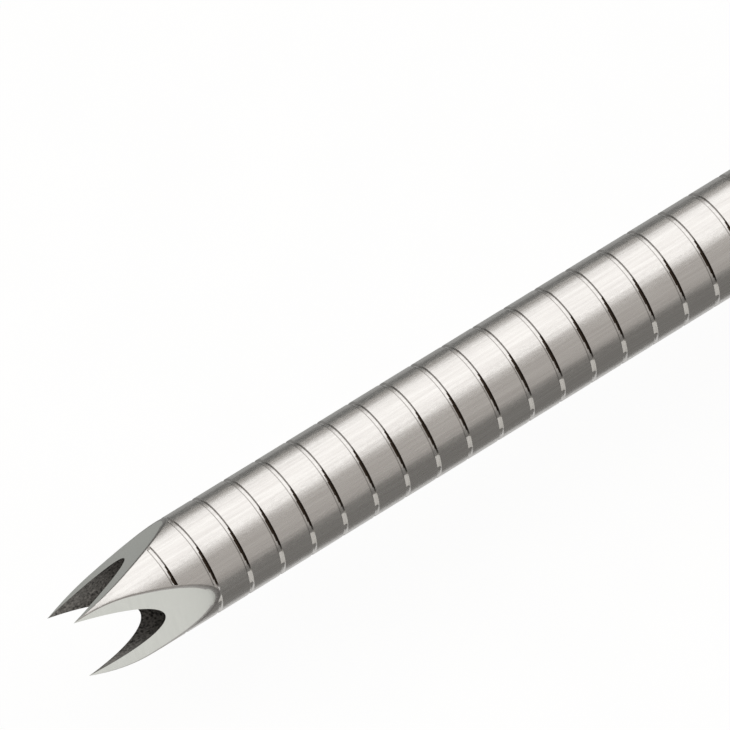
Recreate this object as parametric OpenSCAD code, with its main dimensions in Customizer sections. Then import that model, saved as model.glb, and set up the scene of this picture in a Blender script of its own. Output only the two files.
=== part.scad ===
// Endoscopic ultrasound needle: a long handle, a thin plastic sheath that lies coiled beside it,
// and a grooved steel cannula with a three-pronged tip that slides out of the sheath's end.
// The handle lies along X, with its sheath outlet toward -X. The needle's tip points toward +X.
// A place along the handle is a distance from the tip of the scope adapter's nose.

/* [Needle] */
// Outside diameter of the cannula
needle_d = 0.72; // [0.6:0.01:0.9]
// Wall of the cannula
needle_wall = 0.085; // [0.06:0.005:0.12]
// Angle between each ground face of the tip and the cannula's axis
bevel_angle = 13.4; // [10:0.1:25]
// Turn of the first prong about the axis, from +Y toward +Z
prong_turn = 80; // [0:1:120]
// Number of prongs
prongs = 3; // [3:1:4]
// Distance from one groove to the next
groove_pitch = 0.25; // [0.2:0.01:0.5]
// Width of a groove
groove_w = 0.044; // [0.02:0.002:0.08]
// Depth of a groove
groove_depth = 0.016; // [0.01:0.002:0.03]
// Number of grooves
groove_count = 60; // [10:1:80]
// Distance from the prongs' points to the first groove
first_groove = 0.72; // [0.5:0.01:2]
// How far the needle stands out of the sheath as it lies
needle_out = 20; // [5:1:40]
// Whole stroke of the needle
needle_stroke = 80; // [40:1:90]

/* [Stylet] */
// Clearance between the stylet and the cannula's bore
stylet_gap = 0.025; // [0.015:0.005:0.05]
// How far the stylet is drawn back as it lies
stylet_back = 10; // [5:1:20]
// How far further the stylet can be drawn
stylet_travel = 40; // [20:1:45]
// Length of the stylet's far end
stylet_tip_l = 35; // [25:1:40]
// Length of the stylet's blunt point
stylet_point_l = 0.3; // [0.1:0.05:0.6]
// Length of the stylet's cap behind its skirt
cap_l = 16; // [12:1:24]
// Radius of the stylet's cap
cap_r = 6; // [5.5:0.1:8]
// Wall of the cap's skirt
cap_wall = 1.2; // [0.8:0.1:1.5]

/* [Sheath] */
// Outside diameter of the sheath
sheath_d = 1.8; // [1.6:0.05:2.2]
// Bore of the sheath
sheath_bore = 1; // [0.95:0.05:1.2]
// Length of the straight hollow stretch at the sheath's end
sheath_end_l = 96; // [94:1:110]
// How far the handle can push the sheath through the adapter
sheath_travel = 40; // [20:1:50]

/* [Scope adapter] */
// Radius of the nose at its tip
nose_r = 1.99; // [1.95:0.01:2.05]
// Length of the tapered nose
nose_l = 7.5; // [7:0.1:9]
// Growth of the nose's radius for each millimetre of its length
nose_taper_share = 0.03; // [0.02:0.005:0.04]
// Radius of the turning collar
collar_r = 7.5; // [6.5:0.1:9]
// Radius of the collar's threaded mouth
collar_mouth_r = 4; // [3.8:0.05:4.4]
// Length of the collar
collar_l = 12; // [10:0.5:14]
// How far the nose stands out of the collar
nose_out = 2.1; // [1.5:0.1:3]
// Radius of the hub behind the collar
hub_r = 8; // [7:0.1:10]
// Length of the hub behind the collar
hub_l = 10; // [8:0.5:16]
// Radius of the graduated tube
slide_r = 5; // [4.5:0.1:6]
// Wall of the graduated tube
slide_wall = 1.6; // [1:0.1:2]
// Depth of the tube's socket in the hub
slide_socket = 6; // [4:0.5:7]

/* [Grip] */
// Height of the handle's axis above what it lies on
axis_h = 15; // [15:0.1:16]
// Radius of the front collar
front_r = 12; // [11:0.1:13]
// Length of the front collar
front_l = 16; // [15:0.5:20]
// Radius of the front collar's face
front_face_r = 8.5; // [8:0.1:10]
// Radius of the shells' two shoulders
shoulder_r = 15.6; // [15.4:0.1:16]
// Length of the two shells
shell_l = 70; // [66:1:90]
// Wall of the shells under the soft sleeve
shell_wall = 2.1; // [1.5:0.1:2.5]
// Radius of the seat under the soft sleeve
seat_r = 12.6; // [12.4:0.1:13]
// Length of the soft sleeve
grip_l = 40; // [30:1:42]
// Height of the soft sleeve over its seat
grip_h = 1.5; // [1:0.1:1.8]
// Number of ribs on the soft sleeve
grip_ribs = 9; // [5:1:11]
// Height of a rib
rib_h = 0.8; // [0.4:0.1:1]

/* [Needle rail] */
// Radius of the rail
rail_r = 6; // [5.5:0.1:6.5]
// Wall of the rail
rail_wall = 1.6; // [1.2:0.1:2]
// Length of rail that stays inside the plunger at full retraction
rail_hold = 12; // [12:1:20]
// Distance between the engraved marks
mark_pitch = 10; // [5:1:10]
// Width of an engraved mark
mark_w = 0.4; // [0.2:0.1:0.8]
// Depth of an engraved mark
mark_depth = 0.15; // [0.1:0.05:0.3]
// Width of the keyway under the rail
key_w = 2; // [1.5:0.1:3]
// Depth of the keyway
key_depth = 0.8; // [0.5:0.1:1]
// Length of the stop ring
stop_l = 12; // [10:0.5:14]
// Radius of the stop ring
stop_r = 10.5; // [10:0.1:12]
// Travel of the stop ring
stop_travel = 12; // [5:1:20]

/* [Plunger] */
// Radius of the plunger's sleeve
sleeve_r = 9.5; // [9:0.1:10.5]
// Radius of the thumb flange
flange_r = 15; // [14:0.1:15]
// Thickness of the thumb flange
flange_l = 6; // [4:0.5:8]
// Radius of the needle hub
needle_hub_r = 7; // [6.8:0.1:8]
// Length of the needle hub behind the sleeve
needle_hub_l = 14; // [12:0.5:20]
// Width of the colour band on the needle hub
band_l = 5; // [3:0.5:7]
// Height of the colour band over the needle hub
band_h = 0.4; // [0.2:0.1:0.8]
// Radius of the syringe port
port_r = 3.3; // [3.2:0.05:3.5]
// Length of the syringe port outside the hub
port_l = 8; // [8:0.5:10]
// Radius of the port's bore at its mouth
port_mouth_r = 2.15; // [2.1:0.01:2.2]
// Reach of the port's two lugs from its axis
lug_r = 3.9; // [3.7:0.05:4]

/* [Screws] */
// Radius of a thumb screw's thread
thumb_r = 2; // [1.5:0.1:2.5]
// Radius of a thumb screw's head
thumb_head_r = 5; // [4:0.1:6]
// Height of a thumb screw's head
thumb_head_h = 6; // [4:0.5:8]
// Wall of a threaded insert
insert_wall = 1.1; // [0.8:0.1:1.5]
// Radius of a shell screw's head
screw_head_r = 1.9; // [1.6:0.1:2.2]
// Radius of a shell screw's shank
screw_r = 1; // [0.8:0.1:1.2]
// Length of a shell screw's shank
screw_l = 19; // [14:0.5:20]

/* [Fits] */
// Radial clearance of a sliding or turning fit
run_gap = 0.08; // [0.03:0.01:0.1]
// Clearance of a bonded or seated piece
seat_gap = 0.03; // [0.02:0.01:0.05]
// Clearance between pieces that pass each other
free_gap = 0.4; // [0.3:0.05:0.6]

/* [Hidden] */
$fn = 64;
// One overrun for every cut
over = 1;

// Cannula and stylet
needle_r = needle_d / 2;
needle_bore_r = needle_r - needle_wall;
stylet_r = needle_bore_r - stylet_gap;
// The ground faces meet on the axis this far past the prongs' points
crown_apex = needle_bore_r * cos(180 / prongs) / tan(bevel_angle);
cannula_hold = 12;
cannula_in = needle_stroke - needle_out + cannula_hold;

// Sheath
sheath_r = sheath_d / 2;
sheath_bore_r = sheath_bore / 2;
outlet_gap = 0.1;
outlet_r = sheath_r + outlet_gap;

// Scope adapter, from the tip of its nose
collar_at = nose_out;
collar_wall_l = 2.4;
nose_root_r = nose_r + nose_taper_share * nose_l;
neck_step = 0.6;
neck_r = nose_root_r + neck_step;
bead_r = neck_r + neck_step;
bead_l = 0.9;
hub_at = collar_at + collar_l + free_gap / 2;
hub_end = hub_at + hub_l;
slide_at = hub_end - slide_socket;
flutes = 18;
flute_r = 0.7;
hub_flute_r = 0.9;
edge = 0.5;

// Front collar: a margin at the hub keeps the marks in view
slide_margin = 2;
front_at = hub_end + sheath_travel + slide_margin;
front_end = front_at + front_l;
front_rise = 6;
spigot_r = 9;
spigot_l = 4;
lock_at = front_at + (front_rise + front_l) / 2;
seal_w = 1.8;
seal_h = 1.3;
seal_inset = 3;
lock_seal_at = front_at + seal_inset;

// Shells: the soft sleeve lies midway along them, between two shoulders
shell_at = front_end;
shell_end = shell_at + shell_l;
grip_at = shell_at + (shell_l - grip_l) / 2;
grip_end = grip_at + grip_l;
shoulder_rise = 2;
front_slope_share = 0.46;
rear_slope_share = 0.6;
shoulder_at = shell_at + (grip_at - shoulder_rise - shell_at) * front_slope_share;
shoulder_end = grip_at - shoulder_rise;
rear_slope_at = shell_end - (shell_end - grip_end - shoulder_rise) * rear_slope_share;

// Anchor and rail: the rail's flange ends with the soft sleeve, behind the anchor, and the
// graduated tube has its whole travel in front of the anchor
anchor_l = 8;
rail_flange_l = 3;
rail_at = grip_end - rail_flange_l;
anchor_at = rail_at - anchor_l;
anchor_mid = anchor_at + anchor_l / 2;
slide_end = anchor_at - slide_margin - sheath_travel;
slide_l = slide_end - slide_at;
rear_r = 10;
cavity_r = seat_r - shell_wall;
boss_r = 2.3;
boss_sink = 0.5;
boss_up = cavity_r - boss_r + boss_sink;
front_screw_at = (shoulder_at + shoulder_end) / 2;
rear_screw_at = rear_slope_at - boss_r;
screw_head_h = 1.4;
screw_sink = 1;
screw_places = [[front_screw_at, boss_up], [front_screw_at, -boss_up],
    [rear_screw_at, boss_up], [rear_screw_at, -boss_up]];

// The stop ring lies against the shells, and the plunger never reaches it
stop_rest_gap = 1;
stop_at = shell_end + stop_rest_gap;
plunger_foremost = stop_at + stop_l + stop_travel + stop_rest_gap;
rail_end = plunger_foremost + needle_stroke + rail_hold;
rail_bore_r = rail_r - rail_wall;
plug_l = 8;
plug_face_l = 1.5;
hypo_r = 0.8;
hypo_gap = 0.09;
hypo_bore_r = needle_r + hypo_gap;

// Plunger
sleeve_at = plunger_foremost + needle_stroke - needle_out;
hub_spigot_l = 6;
sleeve_l = needle_stroke + rail_hold + plug_face_l + hub_spigot_l + stop_rest_gap;
sleeve_end = sleeve_at + sleeve_l;
sleeve_bore_r = rail_r + free_gap;
land_l = 8;
wiper_at = sleeve_at + seal_inset;
ridge_pitch = 3;
ridge_r = 0.8;
ridges = 6;
needle_hub_end = sleeve_end + needle_hub_l;
band_inset = 3;
band_at = sleeve_end + band_inset;
port_socket = 4;
port_at = needle_hub_end - port_socket;
port_end = needle_hub_end + port_l;
port_depth = 7.5;
port_throat_r = 0.6;
lug_l = 1.5;
throat_l = 2;
proximal_hold = 10;
needle_start = anchor_mid - needle_out - proximal_hold;
needle_back = port_end - port_depth - throat_l;

// Stylet cap: at home its skirt covers the port
skirt_l = port_l;
cap_gap = 0.5;
cap_home = needle_hub_end + cap_gap;
cap_at = cap_home + stylet_back;
skirt_r = cap_r - cap_wall;
cap_flutes = 14;
plug_nose_l = 6;
rod_end = cap_at + skirt_l + cap_l / 2;
rod_start = needle_start + 2 * stylet_back;

handle_l = cap_at + skirt_l + cap_l;
nose_x = -handle_l / 2;

// Thumb screws
thumb_gap = 0.6;
thumb_flutes = 16;
thumb_flute_r = 0.5;

// The sheath's route: round numbers by hand, in millimetres. The lead leaves the nose
// toward -X, comes down to the table and turns round to the coil's far side.
lay_z = 0.9;
route_y = 162;
lead_points = [[-198, 0, 14.9], [-212, 2, 13.4], [-227, 8, 10.2], [-243, 22, 5.8],
    [-254, 41, 2.5], [-258, 62, 1.1], [-258, 81, lay_z], [-258, 100, lay_z], [-254, 121, lay_z],
    [-240, 144, lay_z], [-218, 158, lay_z], [-196, route_y, lay_z], [-164, route_y, lay_z],
    [-130, route_y, lay_z], [-96, route_y, lay_z]];
coil_x = -60;
coil_y = 92;
coil_r = route_y - coil_y;
coil_turns = 2;
coil_step = 2.5;
coil_climb = 2.3;
coil_rings = 24;
tail_points = [[-44, route_y, 3.2], [-28, route_y, 2.9], [-14, route_y, 1.7], [0, route_y, 1]];
tail_end_x = 12;
tube_sides = 8;
coil_sides = 6;
span_steps = 3;

// Place of a pair of points on a round corner, worked out from its three corners and a reach
function toward(b, a, r) = b + (a - b) * (min(r, norm(a - b) / 2) / norm(a - b));
function corner(a, b, c, r, n) =
    let (p = toward(b, a, r), q = toward(b, c, r))
    [for (i = [0 : n]) let (t = i / n) p * (1 - t) * (1 - t) + b * 2 * t * (1 - t) + q * t * t];
// An outline from corners [radius, place, rounding]; a rounding of zero keeps the corner sharp
function outline(p) = [for (i = [0 : len(p) - 1])
    let (n = len(p), a = p[(i + n - 1) % n], b = p[i], c = p[(i + 1) % n])
    each (b[2] == 0 ? [[b[0], b[1]]]
        : corner([a[0], a[1]], [b[0], b[1]], [c[0], c[1]], b[2], 4))];

// Points of a smooth line through given points: each span is a cubic whose slope at a point
// follows its two neighbours
function spline_at(a, b, c, d, t) =
    (b * 2 + (c - a) * t + (a * 2 - b * 5 + c * 4 - d) * t * t
        + (b * 3 - c * 3 + d - a) * t * t * t) / 2;
function smooth(p, n) = let (m = len(p) - 1) concat(
    [for (i = [0 : m - 1]) for (k = [0 : n - 1])
        spline_at(p[max(i - 1, 0)], p[i], p[i + 1], p[min(i + 2, m)], k / n)],
    [p[m]]);

// Sweep of a many-sided ring along a line. Its ends are square to +X or -X, given by ends.
function unit(v) = v / norm(v);
function heading(p, i, ends) = i == 0 ? ends[0] : i == len(p) - 1 ? ends[1]
    : unit(p[i + 1] - p[i - 1]);
function ring_at(c, d, r, sides) =
    let (side = unit(cross([0, 0, 1], d)), up = cross(d, side))
    [for (k = [0 : sides - 1]) let (a = 360 * (k + 0.5) / sides)
        c + side * r * cos(a) + up * r * sin(a)];
module swept(p, r, sides, ends) {
    rows = len(p);
    points = [for (i = [0 : rows - 1]) each ring_at(p[i], heading(p, i, ends), r, sides)];
    walls = [for (i = [0 : rows - 2]) for (k = [0 : sides - 1])
        let (a = i * sides + k, b = i * sides + (k + 1) % sides)
        each [[a, a + sides, b], [b, a + sides, b + sides]]];
    near = [for (k = [1 : sides - 2]) [0, k, k + 1]];
    last = (rows - 1) * sides;
    far = [for (k = [1 : sides - 2]) [last, last + k + 1, last + k]];
    polyhedron(points = points, faces = concat(walls, near, far));
}

// The coil: two turns, the first spirals in on the table and the second out on top of it
function soft_step(t) = let (s = min(max(t, 0), 1)) s * s * (3 - 2 * s);
function coil_radius(f) = coil_r - coil_step * (f < 1 ? f : coil_turns - f);
function coil_z(f) = lay_z + coil_climb * soft_step((f - 0.75) / 0.5);
function coil_point(f) = [coil_x + coil_radius(f) * sin(360 * f),
    coil_y + coil_radius(f) * cos(360 * f), coil_z(f)];
coil_line = concat([[coil_x - sheath_d, route_y, lay_z]],
    [for (i = [0 : coil_rings * coil_turns]) coil_point(i / coil_rings)],
    [[coil_x + sheath_d, route_y, lay_z + coil_climb]]);
coil_near = min([for (i = [0 : 4 * coil_rings]) for (k = [0 : 4 * coil_rings])
    norm(coil_point(i / (4 * coil_rings)) - coil_point(1 + k / (4 * coil_rings)))
        + (1 + (k - i) / (4 * coil_rings) < 0.25 ? coil_r : 0)]);
coil_gap = coil_near - sheath_d;
echo("Least gap between the coil's turns, mm:", coil_gap);
lead_line = smooth(concat([[nose_x, 0, axis_h]], lead_points, [coil_line[0]]), span_steps);
tail_line = smooth(concat([coil_line[len(coil_line) - 1]], tail_points,
    [[tail_end_x, route_y, lay_z]]), span_steps);

// Frames: a place on the handle's axis, and the end of the sheath with its axis toward +X
module at(u) translate([nose_x + u, 0, axis_h]) rotate([0, 90, 0]) children();
module at_sheath_end() translate([tail_end_x + sheath_end_l, route_y, lay_z])
    rotate([0, 90, 0]) children();

// Solids turned about the handle's axis
module turned(u, corners) at(u) rotate_extrude() polygon(outline(corners));
module tube(u, l, r_out, r_in) turned(u, [[r_in, 0, 0], [r_out, 0, 0], [r_out, l, 0], [r_in, l, 0]]);
module around(u, n, r) at(u) for (i = [0 : n - 1]) rotate([0, 0, 360 * (i + 0.5) / n])
    translate([r, 0, 0]) children();

// A thumb screw that points down to the handle's axis; foot is where its end stops
module thumb_screw(u, foot, seat) translate([nose_x + u, 0, axis_h]) {
    translate([0, 0, foot]) cylinder(h = seat + thumb_gap + edge - foot, r = thumb_r);
    translate([0, 0, seat + thumb_gap]) difference() {
        rotate_extrude() polygon(outline([[0, 0, 0], [thumb_head_r - edge, 0, 0],
            [thumb_head_r, edge, 0], [thumb_head_r, thumb_head_h, edge * 2],
            [thumb_head_r / 2, thumb_head_h, 0], [0, thumb_head_h - edge, 0]]));
        for (i = [0 : thumb_flutes - 1]) rotate([0, 0, 360 * i / thumb_flutes])
            translate([thumb_head_r, 0, -over])
                cylinder(h = thumb_head_h + 2 * over, r = thumb_flute_r, $fn = 24);
    }
}
module insert(u, foot, seat) translate([nose_x + u, 0, axis_h + foot]) difference() {
    cylinder(h = seat - foot, r = thumb_r + insert_wall);
    translate([0, 0, -over]) cylinder(h = seat - foot + 2 * over, r = thumb_r + run_gap);
}
module insert_hole(u, foot) translate([nose_x + u, 0, axis_h + foot - seat_gap])
    cylinder(h = axis_h, r = thumb_r + insert_wall + seat_gap);
module screw_hole(u) translate([nose_x + u, 0, axis_h])
    cylinder(h = axis_h, r = thumb_r + run_gap);

// Scope adapter
module luer_collar() color([0.93, 0.94, 0.95]) difference() {
    turned(collar_at, [[neck_r + run_gap, collar_l - collar_wall_l, 0],
        [collar_mouth_r, collar_l - collar_wall_l, 0], [collar_mouth_r, 0, edge],
        [collar_r, 0, edge * 2], [collar_r, collar_l, edge * 2],
        [neck_r + run_gap, collar_l, 0]]);
    around(collar_at - over, flutes, collar_r + flute_r / 2)
        cylinder(h = collar_l - collar_wall_l + over, r = flute_r, $fn = 24);
}

module adapter_hub() color([0.93, 0.94, 0.95]) difference() {
    turned(0, [[outlet_r, 0, 0], [nose_r, 0, 0],
        [nose_root_r, nose_l, 0], [neck_r, nose_l, 0], [bead_r, nose_l + bead_l / 2, 0],
        [bead_r, nose_l + bead_l, 0], [neck_r, nose_l + bead_l, 0], [neck_r, hub_at, 0],
        [hub_r, hub_at, edge], [hub_r, hub_at + hub_l * 0.6, edge * 2],
        [slide_r + slide_wall, hub_end, edge], [slide_r + seat_gap, hub_end, 0],
        [slide_r + seat_gap, slide_at - seat_gap, 0], [outlet_r, slide_at - seat_gap, 0]]);
    around(hub_at + edge * 2, flutes, hub_r + hub_flute_r / 2)
        cylinder(h = hub_l * 0.6 - 3 * edge, r = hub_flute_r, $fn = 24);
}

// Marks lie a pitch apart, counted back from the hub
module adapter_tube() color([0.96, 0.96, 0.95]) difference() {
    tube(slide_at, slide_l, slide_r, slide_r - slide_wall);
    for (m = [0 : floor(sheath_travel / mark_pitch)])
        tube(hub_end + slide_margin / 2 + m * mark_pitch, mark_w, slide_r + over,
            slide_r - mark_depth);
}

// Front of the grip
module front_collar() color([0.10, 0.33, 0.62]) difference() {
    turned(front_at, [[slide_r + run_gap, 0, 0], [front_face_r, 0, edge * 2],
        [front_r, front_rise, edge * 4], [front_r, front_l, 0], [spigot_r, front_l, 0],
        [spigot_r, front_l + spigot_l, 0], [slide_r + run_gap, front_l + spigot_l, 0]]);
    tube(lock_seal_at, seal_w + 2 * seat_gap, slide_r + seal_h, slide_r - over);
    insert_hole(lock_at, slide_r + seal_h);
    screw_hole(lock_at);
}

module lock_insert() color([0.78, 0.62, 0.32])
    insert(lock_at, slide_r + seal_h, front_r - edge);

module sheath_lock_screw() color([0.93, 0.94, 0.95])
    thumb_screw(lock_at, slide_r + free_gap, front_r);

module adjuster_seal() color([0.12, 0.12, 0.13])
    turned(lock_seal_at + seat_gap, [[slide_r + run_gap, 0, edge / 2],
        [slide_r + seal_h - seat_gap, 0, edge / 2],
        [slide_r + seal_h - seat_gap, seal_w, edge / 2], [slide_r + run_gap, seal_w, edge / 2]]);

// The two shells: one turned body with a waist, cut flat above and below, split upright
module shell_body() difference() {
    turned(shell_at, [[spigot_r + seat_gap, 0, 0], [front_r, 0, 0],
        [shoulder_r, shoulder_at - shell_at, edge * 4], [shoulder_r, shoulder_end - shell_at, edge],
        [seat_r, grip_at - shell_at, 0], [seat_r, grip_end - shell_at, 0],
        [shoulder_r, grip_end + shoulder_rise - shell_at, edge],
        [shoulder_r, rear_slope_at - shell_at, edge * 4],
        [rear_r, shell_l, edge * 2], [rail_r + seat_gap, shell_l, 0],
        [rail_r + seat_gap, rail_at + rail_flange_l + seat_gap - shell_at, 0],
        [spigot_r + seat_gap, rail_at + rail_flange_l + seat_gap - shell_at, 0],
        [spigot_r + seat_gap, anchor_at - seat_gap - shell_at, 0],
        [cavity_r, anchor_at - over - shell_at, 0],
        [cavity_r, spigot_l + over, 0], [spigot_r + seat_gap, spigot_l + seat_gap, 0]]);
    for (z = [-axis_h, 2 * axis_h])
        translate([nose_x + shell_at, -axis_h - over, z])
            cube([shell_l, 2 * (axis_h + over), axis_h]);
}
module on_screws() for (s = screw_places)
    translate([nose_x + s[0], 0, axis_h + s[1]]) rotate([90, 0, 0]) children();
module screw_bosses() intersection() {
    on_screws() cylinder(h = 2 * cavity_r, r = boss_r, center = true);
    at(shell_at + spigot_l + over) cylinder(h = shell_l, r = cavity_r + seat_gap);
}
module half(side) intersection() {
    difference() {
        union() {
            shell_body();
            difference() {
                screw_bosses();
                at(anchor_at - over) cylinder(h = anchor_l + rail_flange_l + 2 * over,
                    r = spigot_r + seat_gap);
            }
        }
        on_screws() translate([0, 0, -cavity_r]) cylinder(h = 3 * cavity_r, r = screw_r + seat_gap);
        on_screws() translate([0, 0, screw_face]) cylinder(h = axis_h, r = screw_head_r + seat_gap);
        at(shell_at + spigot_l) cylinder(h = anchor_at - shell_at - spigot_l,
            r = slide_r + free_gap);
        at(anchor_at) cylinder(h = shell_l, r = rail_r + seat_gap);
    }
    translate([nose_x + shell_at - over, side < 0 ? -2 * axis_h : seat_gap, -over])
        cube([shell_l + 2 * over, 2 * axis_h - seat_gap, 4 * axis_h]);
}
// Heads are let into the left shell
screw_face = sqrt(shoulder_r * shoulder_r - boss_up * boss_up) - screw_sink - screw_head_h;

module handle_shell_left() color([0.95, 0.95, 0.94]) half(-1);
module handle_shell_right() color([0.95, 0.95, 0.94]) half(1);

module shell_screws() color([0.72, 0.73, 0.75]) on_screws() {
    translate([0, 0, screw_face - screw_l]) cylinder(h = screw_l + screw_head_h / 4, r = screw_r);
    translate([0, 0, screw_face + seat_gap]) difference() {
        cylinder(h = screw_head_h, r = screw_head_r);
        translate([0, 0, screw_head_h / 2]) cylinder(h = screw_head_h, r = screw_r, $fn = 6);
    }
}

module grip_sleeve() color([0.16, 0.36, 0.62]) {
    rib_pitch = grip_l / grip_ribs;
    turned(grip_at + seat_gap, concat([[seat_r + seat_gap, 0, 0]],
        [for (i = [0 : grip_ribs - 1]) let (u = i * rib_pitch) each [
            [seat_r + grip_h, u, i == 0 ? edge : 0],
            [seat_r + grip_h, u + rib_pitch * 0.25, edge / 2],
            [seat_r + grip_h + rib_h, u + rib_pitch * 0.4, edge / 2],
            [seat_r + grip_h + rib_h, u + rib_pitch * 0.6, edge / 2],
            [seat_r + grip_h, u + rib_pitch * 0.75, edge / 2]]],
        [[seat_r + grip_h, grip_l - 2 * seat_gap, edge],
            [seat_r + seat_gap, grip_l - 2 * seat_gap, 0]]));
}

// Inside the grip
module sheath_anchor() color([0.85, 0.86, 0.88]) turned(anchor_at, [[sheath_r + seat_gap, 0, 0],
    [spigot_r, 0, edge], [spigot_r, anchor_l, 0], [hypo_r + seat_gap, anchor_l, 0],
    [hypo_r + seat_gap, anchor_l / 2, 0], [sheath_r + seat_gap, anchor_l / 2, 0]]);

module sheath_handle() color([0.80, 0.88, 0.94]) tube(0, anchor_mid, sheath_r, sheath_bore_r);

module guide_hypotube() color([0.75, 0.76, 0.78])
    tube(anchor_mid + seat_gap, rail_end - anchor_mid, hypo_r, hypo_bore_r);

module needle_rail() color([0.96, 0.96, 0.95]) difference() {
    turned(rail_at, [[rail_bore_r, 0, 0], [spigot_r, 0, 0], [spigot_r, rail_flange_l, 0],
        [rail_r, rail_flange_l, 0], [rail_r, rail_end - rail_at, edge],
        [rail_bore_r, rail_end - rail_at, 0]]);
    for (m = [0 : floor(needle_stroke / mark_pitch)])
        tube(plunger_foremost + m * mark_pitch - mark_w, mark_w, rail_r + over,
            rail_r - mark_depth);
    translate([nose_x + shell_end + stop_rest_gap, -key_w / 2, axis_h - rail_r - over])
        cube([rail_end, key_w, key_depth + over]);
}

module rail_end_plug() color([0.10, 0.33, 0.62]) turned(rail_end - plug_l, [
    [hypo_r + seat_gap, 0, 0], [rail_bore_r - seat_gap, 0, edge],
    [rail_bore_r - seat_gap, plug_l + seat_gap, 0], [rail_r - edge / 2, plug_l + seat_gap, 0],
    [rail_r - edge / 2, plug_l + plug_face_l, edge],
    [hypo_r + seat_gap, plug_l + plug_face_l, 0]]);

// Stop ring that limits the stroke
module stop_ring() color([0.10, 0.33, 0.62]) difference() {
    turned(stop_at, [[rail_r + run_gap, 0, 0], [stop_r, 0, edge * 2],
        [stop_r, stop_l, edge * 2], [rail_r + run_gap, stop_l, 0]]);
    around(stop_at + edge * 3, flutes, stop_r + hub_flute_r / 2)
        cylinder(h = stop_l - 6 * edge, r = hub_flute_r, $fn = 24);
    insert_hole(stop_at + stop_l / 2, rail_r + seal_h);
    screw_hole(stop_at + stop_l / 2);
}

module stop_insert() color([0.78, 0.62, 0.32])
    insert(stop_at + stop_l / 2, rail_r + seal_h, stop_r - edge);

module stop_screw() color([0.93, 0.94, 0.95])
    thumb_screw(stop_at + stop_l / 2, rail_r + free_gap, stop_r);

// Plunger
module plunger_sleeve() color([0.95, 0.95, 0.94]) {
    difference() {
        turned(sleeve_at, [[rail_r + run_gap, 0, edge], [sleeve_r, 0, edge * 2],
            [sleeve_r, sleeve_l, 0], [sleeve_bore_r, sleeve_l, 0],
            [sleeve_bore_r, land_l, 0], [rail_r + run_gap, land_l, 0]]);
        tube(wiper_at, seal_w + 2 * seat_gap, rail_r + seal_h, rail_r - over);
        for (i = [0 : ridges - 1]) at(sleeve_at + land_l + i * ridge_pitch) rotate_extrude()
            translate([sleeve_r + ridge_r / 2, 0]) circle(r = ridge_r, $fn = 24);
    }
    // Key that runs in the rail's keyway
    translate([nose_x + sleeve_at + edge, -key_w / 2 + free_gap / 2, axis_h - rail_r - free_gap])
        cube([wiper_at - sleeve_at - edge * 2, key_w - free_gap, key_depth]);
}

module wiper_seal() color([0.12, 0.12, 0.13]) turned(wiper_at + seat_gap, [
    [rail_r + run_gap, 0, edge / 2], [rail_r + seal_h - seat_gap, 0, edge / 2],
    [rail_r + seal_h - seat_gap, seal_w, edge / 2], [rail_r + run_gap, seal_w, edge / 2]]);

module plunger_flange() color([0.10, 0.33, 0.62]) difference() {
    turned(sleeve_end - flange_l - edge, [[sleeve_r + seat_gap, 0, 0],
        [sleeve_r + grip_h, 0, edge], [flange_r, flange_l / 3, edge * 2],
        [flange_r, flange_l, edge * 2], [sleeve_r + seat_gap, flange_l, 0]]);
    around(sleeve_end - flange_l - over, flutes, flange_r + hub_flute_r / 2)
        cylinder(h = flange_l + 2 * over, r = hub_flute_r, $fn = 24);
}

module needle_hub() color([0.10, 0.10, 0.11]) turned(sleeve_end - hub_spigot_l, [
    [needle_r + seat_gap, 0, 0], [sleeve_bore_r - seat_gap, 0, edge],
    [sleeve_bore_r - seat_gap, hub_spigot_l + seat_gap, 0],
    [needle_hub_r, hub_spigot_l + seat_gap, edge],
    [needle_hub_r, band_at + band_l + edge - sleeve_end + hub_spigot_l, edge * 2],
    [port_r + cap_wall, hub_spigot_l + needle_hub_l, edge],
    [port_r + seat_gap, hub_spigot_l + needle_hub_l, 0],
    [port_r + seat_gap, port_at - seat_gap - sleeve_end + hub_spigot_l, 0],
    [needle_r + seat_gap, port_at - seat_gap - sleeve_end + hub_spigot_l, 0]]);

module gauge_band() color([0.10, 0.10, 0.11])
    turned(band_at, [[needle_hub_r + seat_gap, 0, 0], [needle_hub_r + band_h, 0, band_h / 2],
        [needle_hub_r + band_h, band_l, band_h / 2], [needle_hub_r + seat_gap, band_l, 0]]);

module luer_port() color([0.88, 0.91, 0.93]) {
    turned(port_at, [[needle_r + seat_gap, 0, 0], [port_r, 0, 0],
        [port_r, port_end - port_at, edge / 2], [port_mouth_r, port_end - port_at, 0],
        [port_mouth_r - nose_taper_share * port_depth, port_end - port_at - port_depth, 0],
        [needle_r + seat_gap, port_end - port_at - port_depth - port_throat_r, 0]]);
    intersection() {
        tube(port_end - lug_l, lug_l, lug_r, port_r - edge / 2);
        translate([nose_x + port_end - over - lug_l, -port_r / 2, axis_h - lug_r])
            cube([lug_l + 2 * over, port_r, 2 * lug_r]);
    }
}

module needle_proximal() color([0.75, 0.76, 0.78])
    tube(needle_start, needle_back - needle_start, needle_r, needle_bore_r);

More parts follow.
